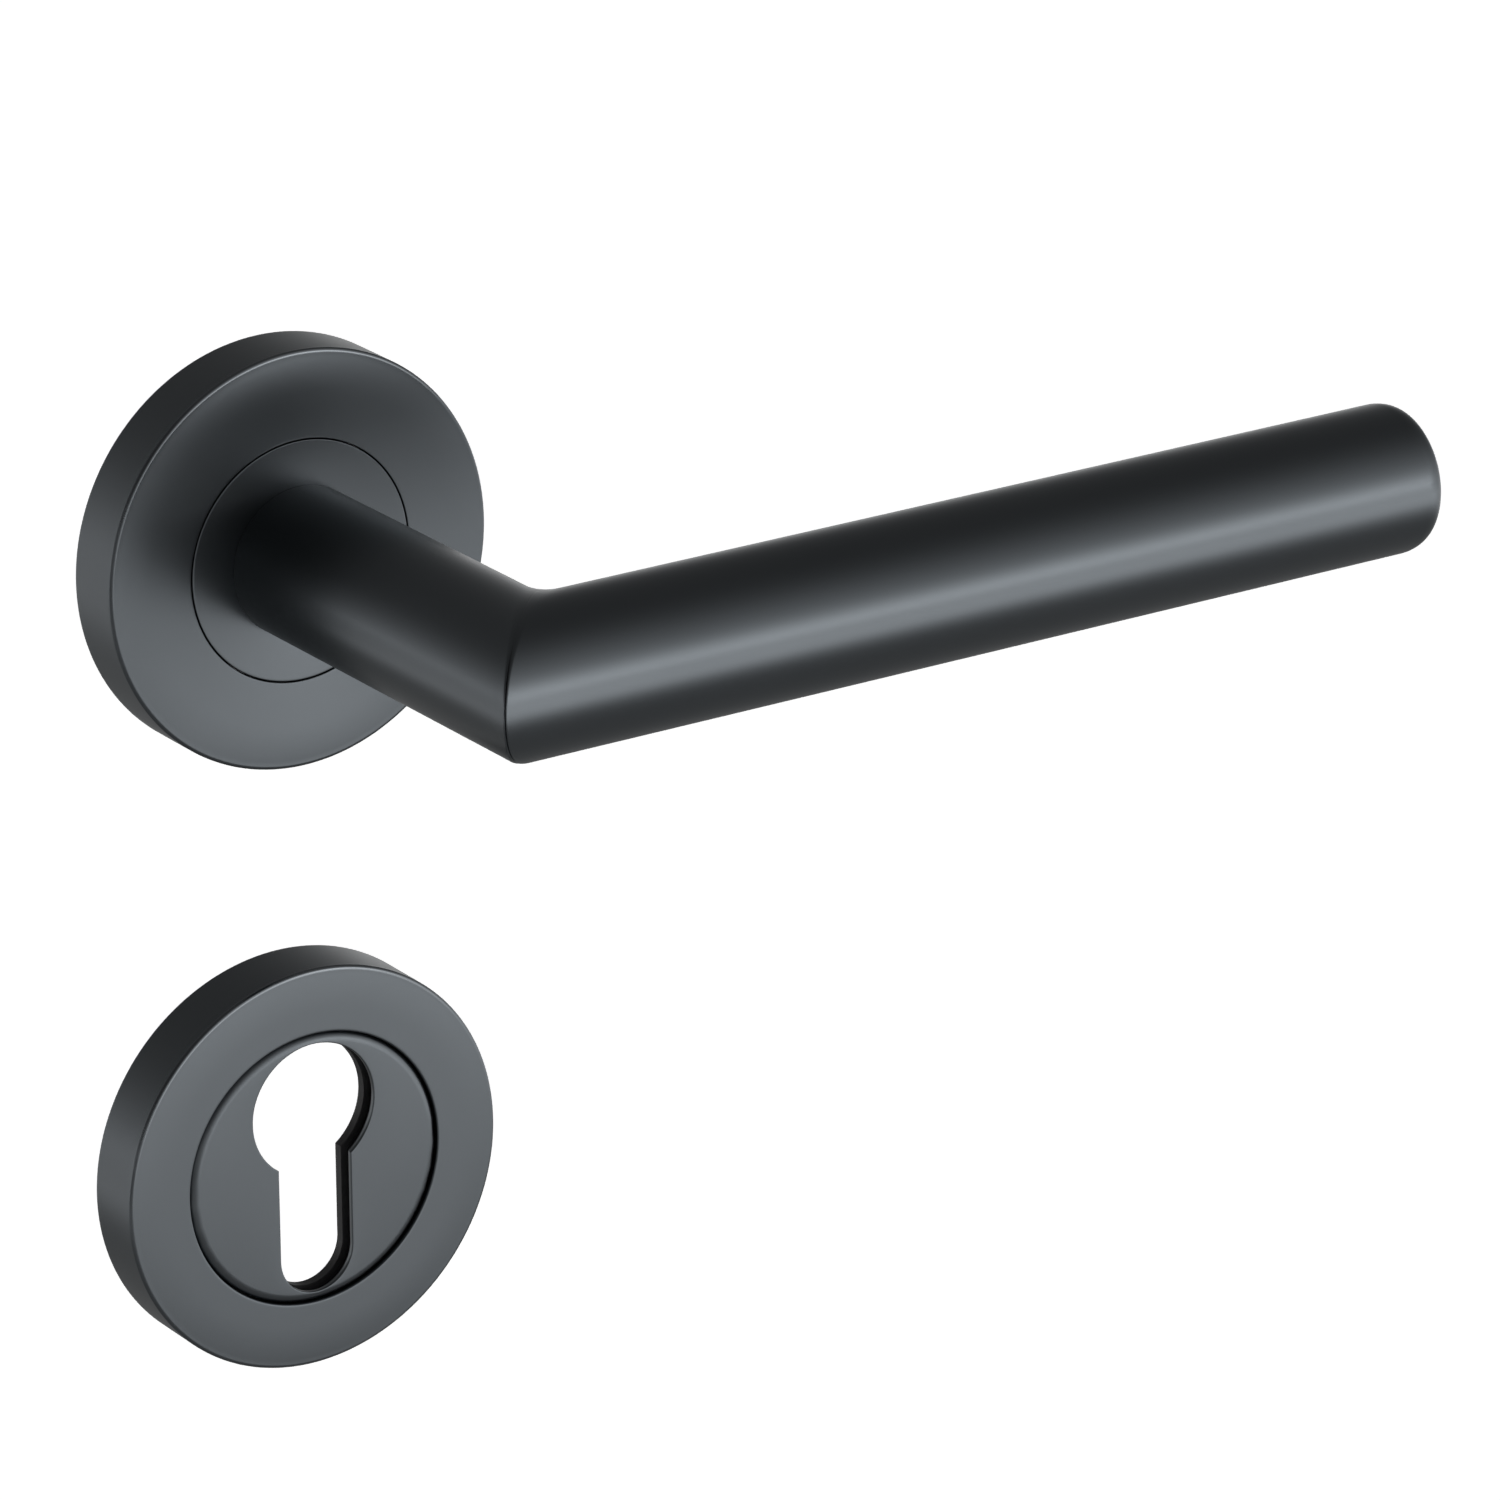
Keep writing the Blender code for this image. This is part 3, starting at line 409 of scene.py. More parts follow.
# sweeps an outline of (radius, along) round an axis
def turned(outline, place):
    rings = [[place(r, angle, h) for r, h in outline] for angle in roundAngles()]
    return skin(rings, core=outline[0][0] == 0.0)


# on the door: out is the distance in front of its face
def onDoor(middle):
    def place(radius, angle, out):
        return (middle[0] + radius * math.cos(angle), -out, middle[2] + radius * math.sin(angle))
    return place


def middleOf(node):
    low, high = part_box(node)
    return (low + high) / 2


def outerRadius(node):
    low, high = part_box(node)
    return (high.x - low.x) / 2


def frontOf(node):
    return -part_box(node)[0].y


def backOf(node):
    return -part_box(node)[1].y


def camelName(node):
    first, *rest = node.split("_")
    return first + "".join(word.capitalize() for word in rest)


def addObject(name, data):
    thing = bpy.data.objects.new(name, data)
    bpy.context.scene.collection.objects.link(thing)
    return thing


def meshFrom(name, build):
    mesh = bpy.data.meshes.new(name)
    build.to_mesh(mesh)
    build.free()
    return mesh


def clean(build):
    bmesh.ops.remove_doubles(build, verts=build.verts, dist=meshLook["weld"])
    bmesh.ops.recalc_face_normals(build, faces=build.faces)


facingOut = Matrix.Rotation(quarterTurn, 4, "X")  # turns a Z axis to point out of the door


# a finished mesh as an object; gloss stretched by fine marks follows its own Z axis
def makeThing(name, build, finish, edgeGlossAndHighlight=None, ownAxis=False):
    clean(build)
    # the mask gives extra gloss and the painted highlight on the turned edges
    if edgeGlossAndHighlight:
        layer = build.verts.layers.float.new(satinBlackLook["glossAndHighlightMark"])
        for vert in build.verts:
            vert[layer] = edgeGlossAndHighlight(vert.co)
    mesh = meshFrom(name, build)
    mesh.shade_smooth()
    mesh.set_sharp_from_angle(angle=meshLook["crease"])
    mesh.materials.append(finish)
    thing = addObject(name, mesh)
    if ownAxis:
        mesh.transform(facingOut.inverted())
        thing.matrix_world = facingOut
    return thing


# a piece that stands for a CAD node
def makePiece(name, build, node, finish=None, edgeGlossAndHighlight=None):
    piece = makeThing(name, build, finish or finishes[slotOf[node]], edgeGlossAndHighlight, finish == turnedFinish)
    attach(piece, bodyOf[node])
    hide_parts(node)
    return piece


# takes the shape of a closed mesh out of a piece
def cutAway(piece, name, build):
    clean(build)
    tool = addObject(name, meshFrom(name, build))
    modifier = piece.modifiers.new(name, "BOOLEAN")
    modifier.object = tool
    bpy.context.view_layer.update()
    evaluated = piece.evaluated_get(bpy.context.evaluated_depsgraph_get())
    mesh = bpy.data.meshes.new_from_object(evaluated)
    mesh.set_sharp_from_angle(angle=meshLook["crease"])
    piece.modifiers.remove(modifier)
    piece.data = mesh
    bpy.data.objects.remove(tool)


def breakEdges(piece, width):
    bevel = piece.modifiers.new("brokenEdges", "BEVEL")
    bevel.width = width
    bevel.segments = meshLook["breakSteps"]
    bevel.limit_method = "ANGLE"
    bevel.angle_limit = meshLook["crease"]
    bevel.harden_normals = True


# The two caps
capLook = {
    "wall": 1.3 * mm,
    "face": 1.2 * mm,
    "edgeWidth": 0.50 * mm,  # of the oval front edge
    "edgeDepth": 0.42 * mm,
    "paintedHighlightAngle": math.radians(100),  # where round the cap the painted highlight on that edge is brightest, towards the top
    "edgeSteps": 14,
    "crownWidth": 5.0 * mm,  # the face falls away a little towards its edge
    "crownDrop": 0.12 * mm,
    "crownSteps": 8,
    "backEdge": 0.15 * mm,
    "grooveDepth": 0.5 * mm,  # for the snap ring
    "grooveHeight": 3.2 * mm,
    "grooveHalf": 1.0 * mm,
}


def makeCap(name, node, holeRadius, holeEdge, finish):
    look = capLook
    radius = outerRadius(node)
    front = frontOf(node)
    inside = radius - look["wall"]
    ceiling = front - look["face"]
    grooveLow = look["grooveHeight"] - look["grooveHalf"]
    grooveHigh = look["grooveHeight"] + look["grooveHalf"]
    flat = radius - look["edgeWidth"]
    low = front - look["crownDrop"] - look["edgeDepth"]
    edge = []
    for share in shares(look["edgeSteps"]):
        across, along = polar(1.0, quarterTurn * share)
        edge.append((flat + look["edgeWidth"] * across, low + look["edgeDepth"] * along))
    crown = [(flat - meshLook["fineGuard"], front - look["crownDrop"])]
    for share in shares(look["crownSteps"])[1:]:
        crown.append((flat - share * look["crownWidth"], front - look["crownDrop"] * (1 - share)**2))
    outline = rounded([
        (inside, 0.0, look["backEdge"]),
        (radius, 0.0, look["backEdge"]),
        (radius, low - meshLook["guard"]),
        *edge,
        *crown,
        (holeRadius, front, holeEdge),
        (holeRadius, ceiling),
        (inside, ceiling),
        (inside, grooveHigh),
        (inside + look["grooveDepth"], grooveHigh),
        (inside + look["grooveDepth"], grooveLow),
        (inside, grooveLow),
    ])
    middle = middleOf(node)

    # how much gloss and painted highlight a point on the front edge has, most towards the top
    def edgeGlossAndHighlight(point):
        away = Vector((point.x - middle.x, point.z - middle.z))
        if away.length < flat - meshLook["touch"] or -point.y < low - meshLook["touch"]:
            return 0.0
        return max(0.0, math.cos(math.atan2(away.y, away.x) - look["paintedHighlightAngle"]))**2

    makePiece(name, turned(outline, onDoor(middle)), node, finish, edgeGlossAndHighlight)


collarLook = {
    "bore": 8.0 * mm,
    "edge": 0.12 * mm,
    "gap": 0.14 * mm,  # between the collar and the rose's cap
    "holeEdge": 0.12 * mm,  # of the cap round it
}


# returns the radius of the hole that it needs
def makeCollar():
    look = collarLook
    radius = outerRadius("neck_collar")
    front, back = frontOf("neck_collar"), backOf("neck_collar")
    outline = rounded([
        (look["bore"], back),
        (radius, back),
        (radius, front, look["edge"]),
        (look["bore"], front),
    ])
    build = turned(outline, onDoor(middleOf("neck_collar")))
    makePiece("neckCollar", build, "neck_collar", finish=turnedFinish)
    return radius + look["gap"]


collarHole = makeCollar()
makeCap("roseCap", "rose_cover", collarHole, collarLook["holeEdge"], turnedFinish)
print("rose made")


# The mitred lever
leverLook = {
    "wall": 1.5 * mm,
    "innerRound": 4.0 * mm,  # on the inside of the elbow
    "outerRound": 0.4 * mm,
    "roundRise": 1.15,  # how the round grows from the outside to the inside
    "elbowSteps": 10,
    "seam": 0.15 * mm,  # each tube's edge on the mitre where the seam shows
    "seamSide": math.radians(210),  # the angle round the neck where it is plainest
    "seamDepth": 2.2,  # of that edge
    "seamFade": (0.05, 0.75),  # cosines from there, where it starts and where it is whole
    "seamSteps": 4,
    "noSeam": 0.004 * mm,
    "footEdge": 0.06 * mm,
    "footGap": 0.01 * mm,  # to the collar it stands on
    "endLength": 2.3 * mm,  # of the soft round at the grip's end
    "endDepth": 1.0 * mm,
    "endSteps": 16,
    "grubHole": 2.8 * mm,
    "grubHoleSides": 64,
    "grubHoleSpan": (0.8, 1.2),  # from this share of the bore to this share of the tube's radius
}


# one line over the neck's half of the elbow, as (x, out, z);
# the angle round the neck is 0 towards the grip
def elbowLine(angle, radius, gripAxis):
    look = leverLook
    lean, side = math.cos(angle), math.sin(angle)
    rise = ((1 + lean) / 2)**look["roundRise"]
    bend = look["outerRound"] + (look["innerRound"] - look["outerRound"]) * rise
    fadeStart, fadeEnd = look["seamFade"]
    fade = (math.cos(angle - look["seamSide"]) - fadeStart) / (fadeEnd - fadeStart)
    fade = min(max(fade, 0.0), 1.0)
    edge = look["noSeam"] + look["seam"] * fade * fade * (3 - 2 * fade)
    start = Vector((radius * lean, gripAxis - radius * lean - bend, radius * side))

    def onArc(turn):
        return start + bend * Vector((1 - math.cos(turn), math.sin(turn), 0.0))

    mitre = onArc(quarterTurn / 2)
    inside = mitre + edge * look["seamDepth"] * Vector((-lean, lean, -2 * side)).normalized()
    points = [start - Vector((0.0, meshLook["guard"], 0.0))]
    for share in shares(look["elbowSteps"]):
        points.append(onArc((quarterTurn / 2 - edge / bend) * share))
    last = points[-1]
    for share in shares(look["seamSteps"])[1:]:
        points.append(last.lerp(mitre, share).lerp(mitre.lerp(inside, share), share))
    return points


# returns what the end plug needs
def makeLever():
    look = leverLook
    low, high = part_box("lever_grip")
    radius = (high.z - low.z) / 2
    bore = radius - look["wall"]
    gripAxis = -low.y - radius
    gripEnd = high.x
    foot = frontOf("neck_collar") + look["footGap"]
    onNeck = onDoor((0.0, 0.0, 0.0))

    def alongGrip(r, angle, x):
        return (x, r * math.cos(angle) - gripAxis, r * math.sin(angle))

    footLine = rounded([(bore, foot), (radius, foot, look["footEdge"]), (radius, gripAxis)])[:-1]
    endLine = [(radius, gripEnd - look["endLength"] - meshLook["guard"])]
    for share in shares(look["endSteps"]):
        across, along = polar(1.0, quarterTurn * share)
        endLine.append((radius - look["endDepth"] * (1 - across),
                        gripEnd - look["endLength"] * (1 - along)))
    endLine.append((bore, gripEnd))
    neckRings, gripRings = [], []
    for angle in roundAngles():
        elbow = elbowLine(angle, radius, gripAxis)
        insideEnd = onNeck(bore, angle, gripAxis - bore * math.cos(angle))
        neckRings.append([onNeck(r, angle, h) for r, h in footLine]
                         + [(p.x, -p.y, p.z) for p in elbow] + [insideEnd])
        gripRings.append([insideEnd] + [(gripAxis - p.y, p.x - gripAxis, p.z) for p in reversed(elbow)]
                         + [alongGrip(r, angle, h) for r, h in endLine])
    neck = makePiece("leverNeck", skin(neckRings), "lever_neck")
    hole = [polar(look["grubHole"], angle) for angle in roundAngles(look["grubHoleSides"])]
    hole = [(p.x, middleOf("grub_screw").y + p.y) for p in hole]
    fromBore, toRadius = look["grubHoleSpan"]
    cutAway(neck, "grubHole", bar([(x, y, -bore * fromBore) for x, y in hole],
                                  [(x, y, -radius * toRadius) for x, y in hole]))
    makePiece("leverGrip", skin(gripRings), "lever_grip")
    return bore, gripEnd, alongGrip


plugLook = {
    "seam": 0.05 * mm,
    "edge": 0.10 * mm,
    "chamfer": 0.5 * mm,
    "crownSteps": 16,
}


def makePlug(bore, gripEnd, alongGrip):
    look = plugLook
    low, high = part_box("grip_end_plug")
    radius = bore - look["seam"]
    crown = high.x - gripEnd
    outline = [
        (0.0, low.x),
        (radius - look["chamfer"], low.x),
        (radius, low.x + look["chamfer"]),
        (radius, gripEnd - look["edge"]),
    ]
    for share in reversed(shares(look["crownSteps"])):
        outline.append(((radius - look["edge"]) * share, gripEnd + crown * (1 - share**2)))
    makePiece("gripEndPlug", turned(outline, alongGrip), "grip_end_plug")


makePlug(*makeLever())
print("lever made")


# The escutcheon's inset plate
keyholeLook = {
    "head": 17.5 * mm,
    "slot": 10.4 * mm,
    "height": 33.3 * mm,
    "holeEdge": 0.15 * mm,
    "land": 0.45 * mm,  # the hole's wall behind that edge
    "undercut": 0.9 * mm,  # how much wider the hole is at the plate's back
    "rise": 0.25 * mm,  # brings its face level with the cap's
    "rollWidth": 1.3 * mm,  # of the plate's rolled rim
    "rollDepth": 0.95 * mm,
    "rollSteps": 20,
    "firstStep": 0.3,  # of the roll, against the others
    "gap": 0.10 * mm,  # to the cap round it
    "capEdge": 0.2 * mm,  # of the cap's hole
    "baseStep": 0.05 * mm,  # the base's hole is this much tighter
    "headSteps": 96,
    "sideSteps": 12,
    "footSteps": 48,
}


# the cylinder's hole about the plate's middle, grown all round
def keyholeOutline(grow=0.0):
    look = keyholeLook
    head = look["head"] / 2 + grow
    slot = look["slot"] / 2 + grow
    headMiddle = Vector((0.0, (look["height"] - look["head"]) / 2))
    footMiddle = Vector((0.0, (look["slot"] - look["height"]) / 2))
    shoulder = math.acos(slot / head)
    points = []
    for share in shares(look["headSteps"]):
        points.append(headMiddle + polar(head, -shoulder + (math.pi + 2 * shoulder) * share))
    left = points[-1]
    footLeft = footMiddle - Vector((slot, 0.0))
    for share in shares(look["sideSteps"])[1:-1]:
        points.append(left.lerp(footLeft, share))
    for share in shares(look["footSteps"]):
        points.append(footMiddle + polar(slot, math.pi + math.pi * share))
    right = points[-1]
    for share in shares(look["sideSteps"])[1:-1]:
        points.append(right.lerp(points[0], share))
    return points


# returns the radius of the hole that it needs
def makeKeyholePlate():
    look = keyholeLook
    radius = outerRadius("keyhole_plate")
    front, back = frontOf("keyhole_plate") + look["rise"], backOf("keyhole_plate")
    middle = middleOf("keyhole_plate")
    flat = radius - look["rollWidth"]

    # height of the plate's face, which rolls down towards the rim
    def faceAt(reach):
        share = min(max(reach - flat, 0.0) / look["rollWidth"], 1.0)
        return front - look["rollDepth"] * (1 - math.sqrt(1 - share**2))

    def onFace(outline, depth=0.0):
        return [(p.x, p.y, faceAt(p.length) - depth) for p in outline]

    # each loop is (across, up, out) points, from the hole's back edge round to the rim's back edge
    loops = [[(p.x, p.y, back) for p in keyholeOutline(look["undercut"])]]
    loops.append(onFace(keyholeOutline(), look["holeEdge"] + look["land"]))
    for share in shares(meshLook["arcSteps"]):
        across, along = polar(1.0, quarterTurn * share)
        outline = keyholeOutline(look["holeEdge"] * (1 - across))
        loops.append(onFace(outline, look["holeEdge"] * (1 - along)))
    inner = keyholeOutline(look["holeEdge"] + meshLook["fineGuard"])
    loops.append(onFace(inner))
    for i in range(look["rollSteps"] + 1):
        turn = quarterTurn * (i + look["firstStep"]) / (look["rollSteps"] + look["firstStep"])
        loop = []
        for p in inner:
            start = max(flat, p.length)
            reach = start + (radius - start) * math.sin(turn)
            across, up = p.normalized() * reach
            loop.append((across, up, faceAt(reach)))
        loops.append(loop)
    loops.append([(across, up, back) for across, up, out in loops[-1]])
    rings = [[(middle.x + across, -out, middle.z + up) for across, up, out in loop] for loop in loops]
    makePiece("keyholePlate", skin(rings), "keyhole_plate", finish=capFinish)
    return radius + look["gap"]


plateHole = makeKeyholePlate()
makeCap("escutcheonCap", "escutcheon_cover", plateHole, keyholeLook["capEdge"], capFinish)
print("escutcheon made")


# What shows behind: turned and stamped pieces made anew
springPlateLook = {
    "ear": 3.4 * mm,
    "shoulder": math.radians(75),  # where an ear's flank leaves the disc
    "hubHole": 8.0 * mm,
    "pinHole": 1.2 * mm,
    "pinHoleSides": 48,
    "sinkMouth": 2.9 * mm,
    "shankHole": 1.55 * mm,
    "fit": 0.3 * mm,
    "discSteps": 60,
    "earSteps": 36,
    "edgeBreak": 0.12 * mm,
}


def earPlace():
    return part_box("spring_plate")[1].z - springPlateLook["ear"]


# the spring plate's outline as (across, up) points, grown all round
def earedOutline(grow=0.0):
    look = springPlateLook
    disc = outerRadius("spring_plate") + grow
    ear = look["ear"] + grow
    earMiddle = Vector((0.0, earPlace()))
    away = polar(disc, look["shoulder"]) - earMiddle
    start = math.atan2(away.y, away.x) + math.acos(ear / away.length)
    half = []
    for share in shares(look["discSteps"]):
        half.append(polar(disc, look["shoulder"] * (2 * share - 1)))
    for share in shares(look["earSteps"]):
        half.append(earMiddle + polar(ear, start + (math.pi - 2 * start) * share))
    return half + [-point for point in half]


def makeSpringPlate():
    look = springPlateLook
    front, back = frontOf("spring_plate"), backOf("spring_plate")
    inFront, behind = front + meshLook["overrun"], back - meshLook["overrun"]
    rings = []
    for point in earedOutline():
        inner = point.normalized() * look["hubHole"]
        rings.append([(point.x, -back, point.y), (point.x, -front, point.y),
                      (inner.x, -front, inner.y), (inner.x, -back, inner.y)])
    plate = makePiece("springPlate", skin(rings), "spring_plate")
    pin = onDoor(middleOf("stop_pin"))
    angles = roundAngles(look["pinHoleSides"])
    cutAway(plate, "pinHole", bar([pin(look["pinHole"], angle, inFront) for angle in angles],
                                  [pin(look["pinHole"], angle, behind) for angle in angles]))
    sink = [
        (0.0, behind),
        (look["sinkMouth"] + meshLook["overrun"], behind),
        (look["shankHole"], back + look["sinkMouth"] - look["shankHole"]),
        (look["shankHole"], inFront),
        (0.0, inFront),
    ]
    for side in (-1, 1):
        cutAway(plate, "screwSink", turned(sink, onDoor((0.0, 0.0, side * earPlace()))))
    breakEdges(plate, look["edgeBreak"])


screwLook = {
    "shank": 1.25 * mm,
    "edge": 0.1 * mm,
    "slotHalf": 0.35 * mm,
    "slotDepth": 0.7 * mm,
    "edgeBreak": 0.05 * mm,
}


def makeScrew(node):
    look = screwLook
    head = outerRadius(node)
    front, back = frontOf(node), backOf(node)
    middle = middleOf(node)
    outline = rounded([
        (0.0, back),
        (head, back, look["edge"]),
        (look["shank"], back + head - look["shank"]),
        (look["shank"], front),
        (0.0, front),
    ])
    screw = makePiece(camelName(node), turned(outline, onDoor(middle)), node)
    slot = []
    overrun = meshLook["overrun"]
    for across, up in ((-1, -1), (1, -1), (1, 1), (-1, 1)):
        slot.append((middle.x + across * (head + overrun), middle.z + up * look["slotHalf"]))
    cutAway(screw, "slot", bar([(x, overrun - back, z) for x, z in slot],
                               [(x, -back - look["slotDepth"], z) for x, z in slot]))
    breakEdges(screw, look["edgeBreak"])


washerLook = {"bore": 8.0 * mm, "edge": 0.08 * mm}


def makeWasher():
    look = washerLook
    radius = outerRadius("thrust_washer")
    front, back = frontOf("thrust_washer"), backOf("thrust_washer")
    outline = rounded([
        (look["bore"], back, look["edge"]),
        (radius, back, look["edge"]),
        (radius, front, look["edge"]),
        (look["bore"], front, look["edge"]),
    ])
    makePiece("thrustWasher", turned(outline, onDoor((0.0, 0.0, 0.0))), "thrust_washer")


makeSpringPlate()
for node in ("spring_plate_screw_top", "spring_plate_screw_bottom"):
    makeScrew(node)
makeWasher()
print("spring plate made")


# The return spring: its first half turn is made as an object of its own
springLook = {
    "strip": 0.7 * mm,
    "edge": 0.12 * mm,
    "innerTurn": 11.55 * mm,
    "outerTurn": 13.65 * mm,
    "turns": 1.75,
    "innerAngle": math.radians(250),
    "innerTang": 9.9 * mm,  # where the end in the driver's slot stops
    "outerTang": 15.3 * mm,
    "bend": 0.6 * mm,  # where the strip turns into its tangs
    "bendSteps": 6,
    "stepsInHalf": 48,
}


# a point on the spiral, from 0 at its inner end to 1
def onSpiral(share):
    look = springLook
    radius = look["innerTurn"] + (look["outerTurn"] - look["innerTurn"]) * share
    return polar(radius, look["innerAngle"] + math.tau * look["turns"] * share)


# the strip's middle line from tang to tang, and how many points its first half turn has
def springPath():
    look = springLook
    half = 0.5 / look["turns"]
    first, last = onSpiral(0.0), onSpiral(1.0)
    firstBend = look["bend"] / (math.tau * look["turns"] * look["innerTurn"])
    lastBend = look["bend"] / (math.tau * look["turns"] * look["outerTurn"])

    def bent(start, corner, end):
        return [start.lerp(corner, share).lerp(corner.lerp(end, share), share)
                for share in shares(look["bendSteps"])]

    path = [first.normalized() * look["innerTang"]]
    path += bent(first - first.normalized() * look["bend"], first, onSpiral(firstBend))
    for share in shares(look["stepsInHalf"])[1:]:
        path.append(onSpiral(firstBend + (half - firstBend) * share))
    count = len(path)
    steps = round(look["stepsInHalf"] * (1 - half) / half)
    for share in shares(steps)[1:-1]:
        path.append(onSpiral(half + (1 - lastBend - half) * share))
    path += bent(onSpiral(1 - lastBend), last, last + last.normalized() * look["bend"])
    path.append(last.normalized() * look["outerTang"])
    return path, count


def makeSpring():
    look = springLook
    front, back = frontOf("return_spring"), backOf("return_spring")
    side = look["strip"] / 2
    edge = look["edge"]
    outline = rounded([
        (-side, back, edge),
        (side, back, edge),
        (side, front, edge),
        (-side, front, edge),
    ])
    path, count = springPath()
    sections = []
    for i, point in enumerate(path):
        along = (path[min(i + 1, len(path) - 1)] - path[max(i - 1, 0)]).normalized()
        sections.append([(point.x - along.y * across, -out, point.y + along.x * across)
                         for across, out in outline])
    makePiece("returnSpring", skin(sections[count - 1:], ends=True), "return_spring")
    slot = slotOf["return_spring"]
    inner = makeThing("returnSpringInner", skin(sections[:count], ends=True), finishes[slot])
    start, end = onSpiral(0.0), path[count - 1]
    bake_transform(inner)


makeSpring()
print("spring made")


# The bases: the CAD shapes with their hollows made round
baseLook = {
    "hollowOuter": 22.55 * mm,
    "hollowRoof": 4.92 * mm,
    "hollowStep": math.radians(1.5),
    "hollows": {  # inner radius, and where each hollow starts and ends on one half
        "rose_base_plate": (16.65 * mm, [(14.27, 37.84), (52.16, 74.69), (105.31, 165.73)]),
        "escutcheon_base": (17.95 * mm, [(14.27, 37.84), (52.16, 86.85), (93.15, 165.73)]),
    },
    "seatDeeper": 0.02 * mm,
    "edgeBreak": 0.15 * mm,
}


def hollowBack(piece, node):
    look = baseLook
    inner, spans = look["hollows"][node]
    place = onDoor(middleOf(node))
    build = bmesh.new()
    for half in (0.0, math.pi):
        for first, last in spans:
            first, last = half + math.radians(first), half + math.radians(last)
            steps = math.ceil((last - first) / look["hollowStep"])
            angles = [first + (last - first) * share for share in shares(steps)]
            edge = [(look["hollowOuter"], angle) for angle in angles]
            edge += [(inner, angle) for angle in reversed(angles)]
            bar([place(r, angle, -meshLook["overrun"]) for r, angle in edge],
                [place(r, angle, look["hollowRoof"]) for r, angle in edge], build)
    cutAway(piece, "hollows", build)


# a CAD shape cleaned up, as a piece
def refine(node):
    build = bmesh.new()
    build.from_mesh(frame["nodes"][node].data)
    bmesh.ops.remove_doubles(build, verts=build.verts, dist=meshLook["cadWeld"])
    bmesh.ops.dissolve_limit(build, angle_limit=meshLook["level"], verts=build.verts, edges=build.edges)
    return makePiece(camelName(node), build, node)


def makeBases():
    look = baseLook
    overrun = meshLook["overrun"]
    rose = refine("rose_base_plate")
    hollowBack(rose, "rose_base_plate")
    deep = frontOf("spring_plate") + springPlateLook["fit"] + look["seatDeeper"]
    seat = earedOutline(springPlateLook["fit"])
    cutAway(rose, "plateSeat", bar([(p.x, overrun, p.y) for p in seat],
                                   [(p.x, -deep, p.y) for p in seat]))
    breakEdges(rose, look["edgeBreak"])

    carrier = refine("escutcheon_base")
    hollowBack(carrier, "escutcheon_base")
    middle = middleOf("keyhole_plate")
    low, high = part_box("escutcheon_base")
    hole = [(middle.x + p.x, middle.z + p.y) for p in keyholeOutline(-keyholeLook["baseStep"])]
    cutAway(carrier, "baseHole", bar([(x, low.y - overrun, z) for x, z in hole],
                                     [(x, high.y + overrun, z) for x, z in hole]))
    breakEdges(carrier, look["edgeBreak"])


# the other CAD shapes and how much their edges are broken
edgeBreaks = {
    "neck_hub": 0.10 * mm,
    "spindle": 0.12 * mm,
    "retaining_ring": 0.10 * mm,
    "grub_screw": 0.08 * mm,
    "bearing_bush": 0.10 * mm,
    "spring_driver": 0.10 * mm,
    "stop_pin": 0.12 * mm,
    "rose_snap_ring": 0.0,
    "escutcheon_snap_ring": 0.0,
}

makeBases()
for node, edgeBreak in edgeBreaks.items():
    piece = refine(node)
    if edgeBreak:
        breakEdges(piece, edgeBreak)
print("bases and inner pieces made:", len(edgeBreaks) + len(baseLook["hollows"]))


# Floor, light and camera
stageLook = {
    "floorHeight": -1.0,  # a lever sits about this far above the floor
    "floorRadius": 20.0,
    "floorColour": grey(0.80),
    "floorGlow": 0.62,
    "discSides": 96,
    "cards": {  # dark and bright cards lying on the floor, seen only in reflections
        "underCard": {
            "at": (0.0, 0.20, -0.970),
            "radius": 2.4,
            "stops": [(0.0, grey(0.19)), (0.61, grey(0.20)), (0.76, grey(0.42)), (1.0, grey(1.0))],
        },
        "leftCard": {
            "at": (-4.4, -3.3, -0.975),
            "radius": 4.5,
            "stops": [(0.0, grey(0.12)), (0.8, grey(0.12)), (1.0, grey(0.6))],
        },
        "frontCard": {
            "at": (2.5, -3.7, -0.980),
            "radius": 3.0,
            "stops": [(0.0, grey(1.75)), (0.7, grey(1.70)), (1.0, grey(1.1))],
        },
        "rearCard": {
            "at": (0.0, 6.0, -0.985),
            "radius": 5.2,
            "stops": [(0.0, grey(0.60)), (0.8, grey(0.60)), (1.0, grey(0.75))],
        },
    },
}


def stagePiece(name, build, at):
    thing = addObject(name, meshFrom(name, build))
    thing.location = at
    return thing


def disc(name, radius, at):
    build = bmesh.new()
    bmesh.ops.create_circle(build, cap_ends=True, segments=stageLook["discSides"], radius=radius)
    return stagePiece(name, build, at)


# a card is seen only in reflections; returns its material's graph and the place on it
def makeCard(card):
    card.visible_camera = False
    card.visible_diffuse = False
    card.visible_transmission = False
    card.visible_shadow = False
    material, g, place = newMaterial(card.name + "Face")
    card.data.materials.append(material)
    return g, place


# 1 for rays from the camera or a mirror or through glass, 0 for light on the object
def seenRays(g):
    camera = g.add("LightPath", out="Is Camera Ray")
    glossy = g.add("LightPath", out="Is Glossy Ray")
    through = g.add("LightPath", out="Is Transmission Ray")
    return camera.most(glossy).most(through)


def makeStage():
    look = stageLook
    floor = disc("floor", look["floorRadius"], (0.0, 0.0, look["floorHeight"]))
    material = bpy.data.materials.new("paleFloor")
    g = Graph(material)
    matt = g.add("BsdfDiffuse", None, {"Color": look["floorColour"]})
    glow = g.add("Emission", None, {"Color": grey(1.0), "Strength": seenRays(g) * look["floorGlow"]})
    g.surface(g.add("AddShader", None, {0: matt, 1: glow}))
    floor.data.materials.append(material)
    for name, made in look["cards"].items():
        g, place = makeCard(disc(name, made["radius"], made["at"]))
        reach = g.vector("LENGTH", place, out="Value") / made["radius"]
        face = g.add("ValToRGB", {"stops": made["stops"]}, {"Fac": reach})
        g.surface(g.add("Emission", None, {"Color": face}))


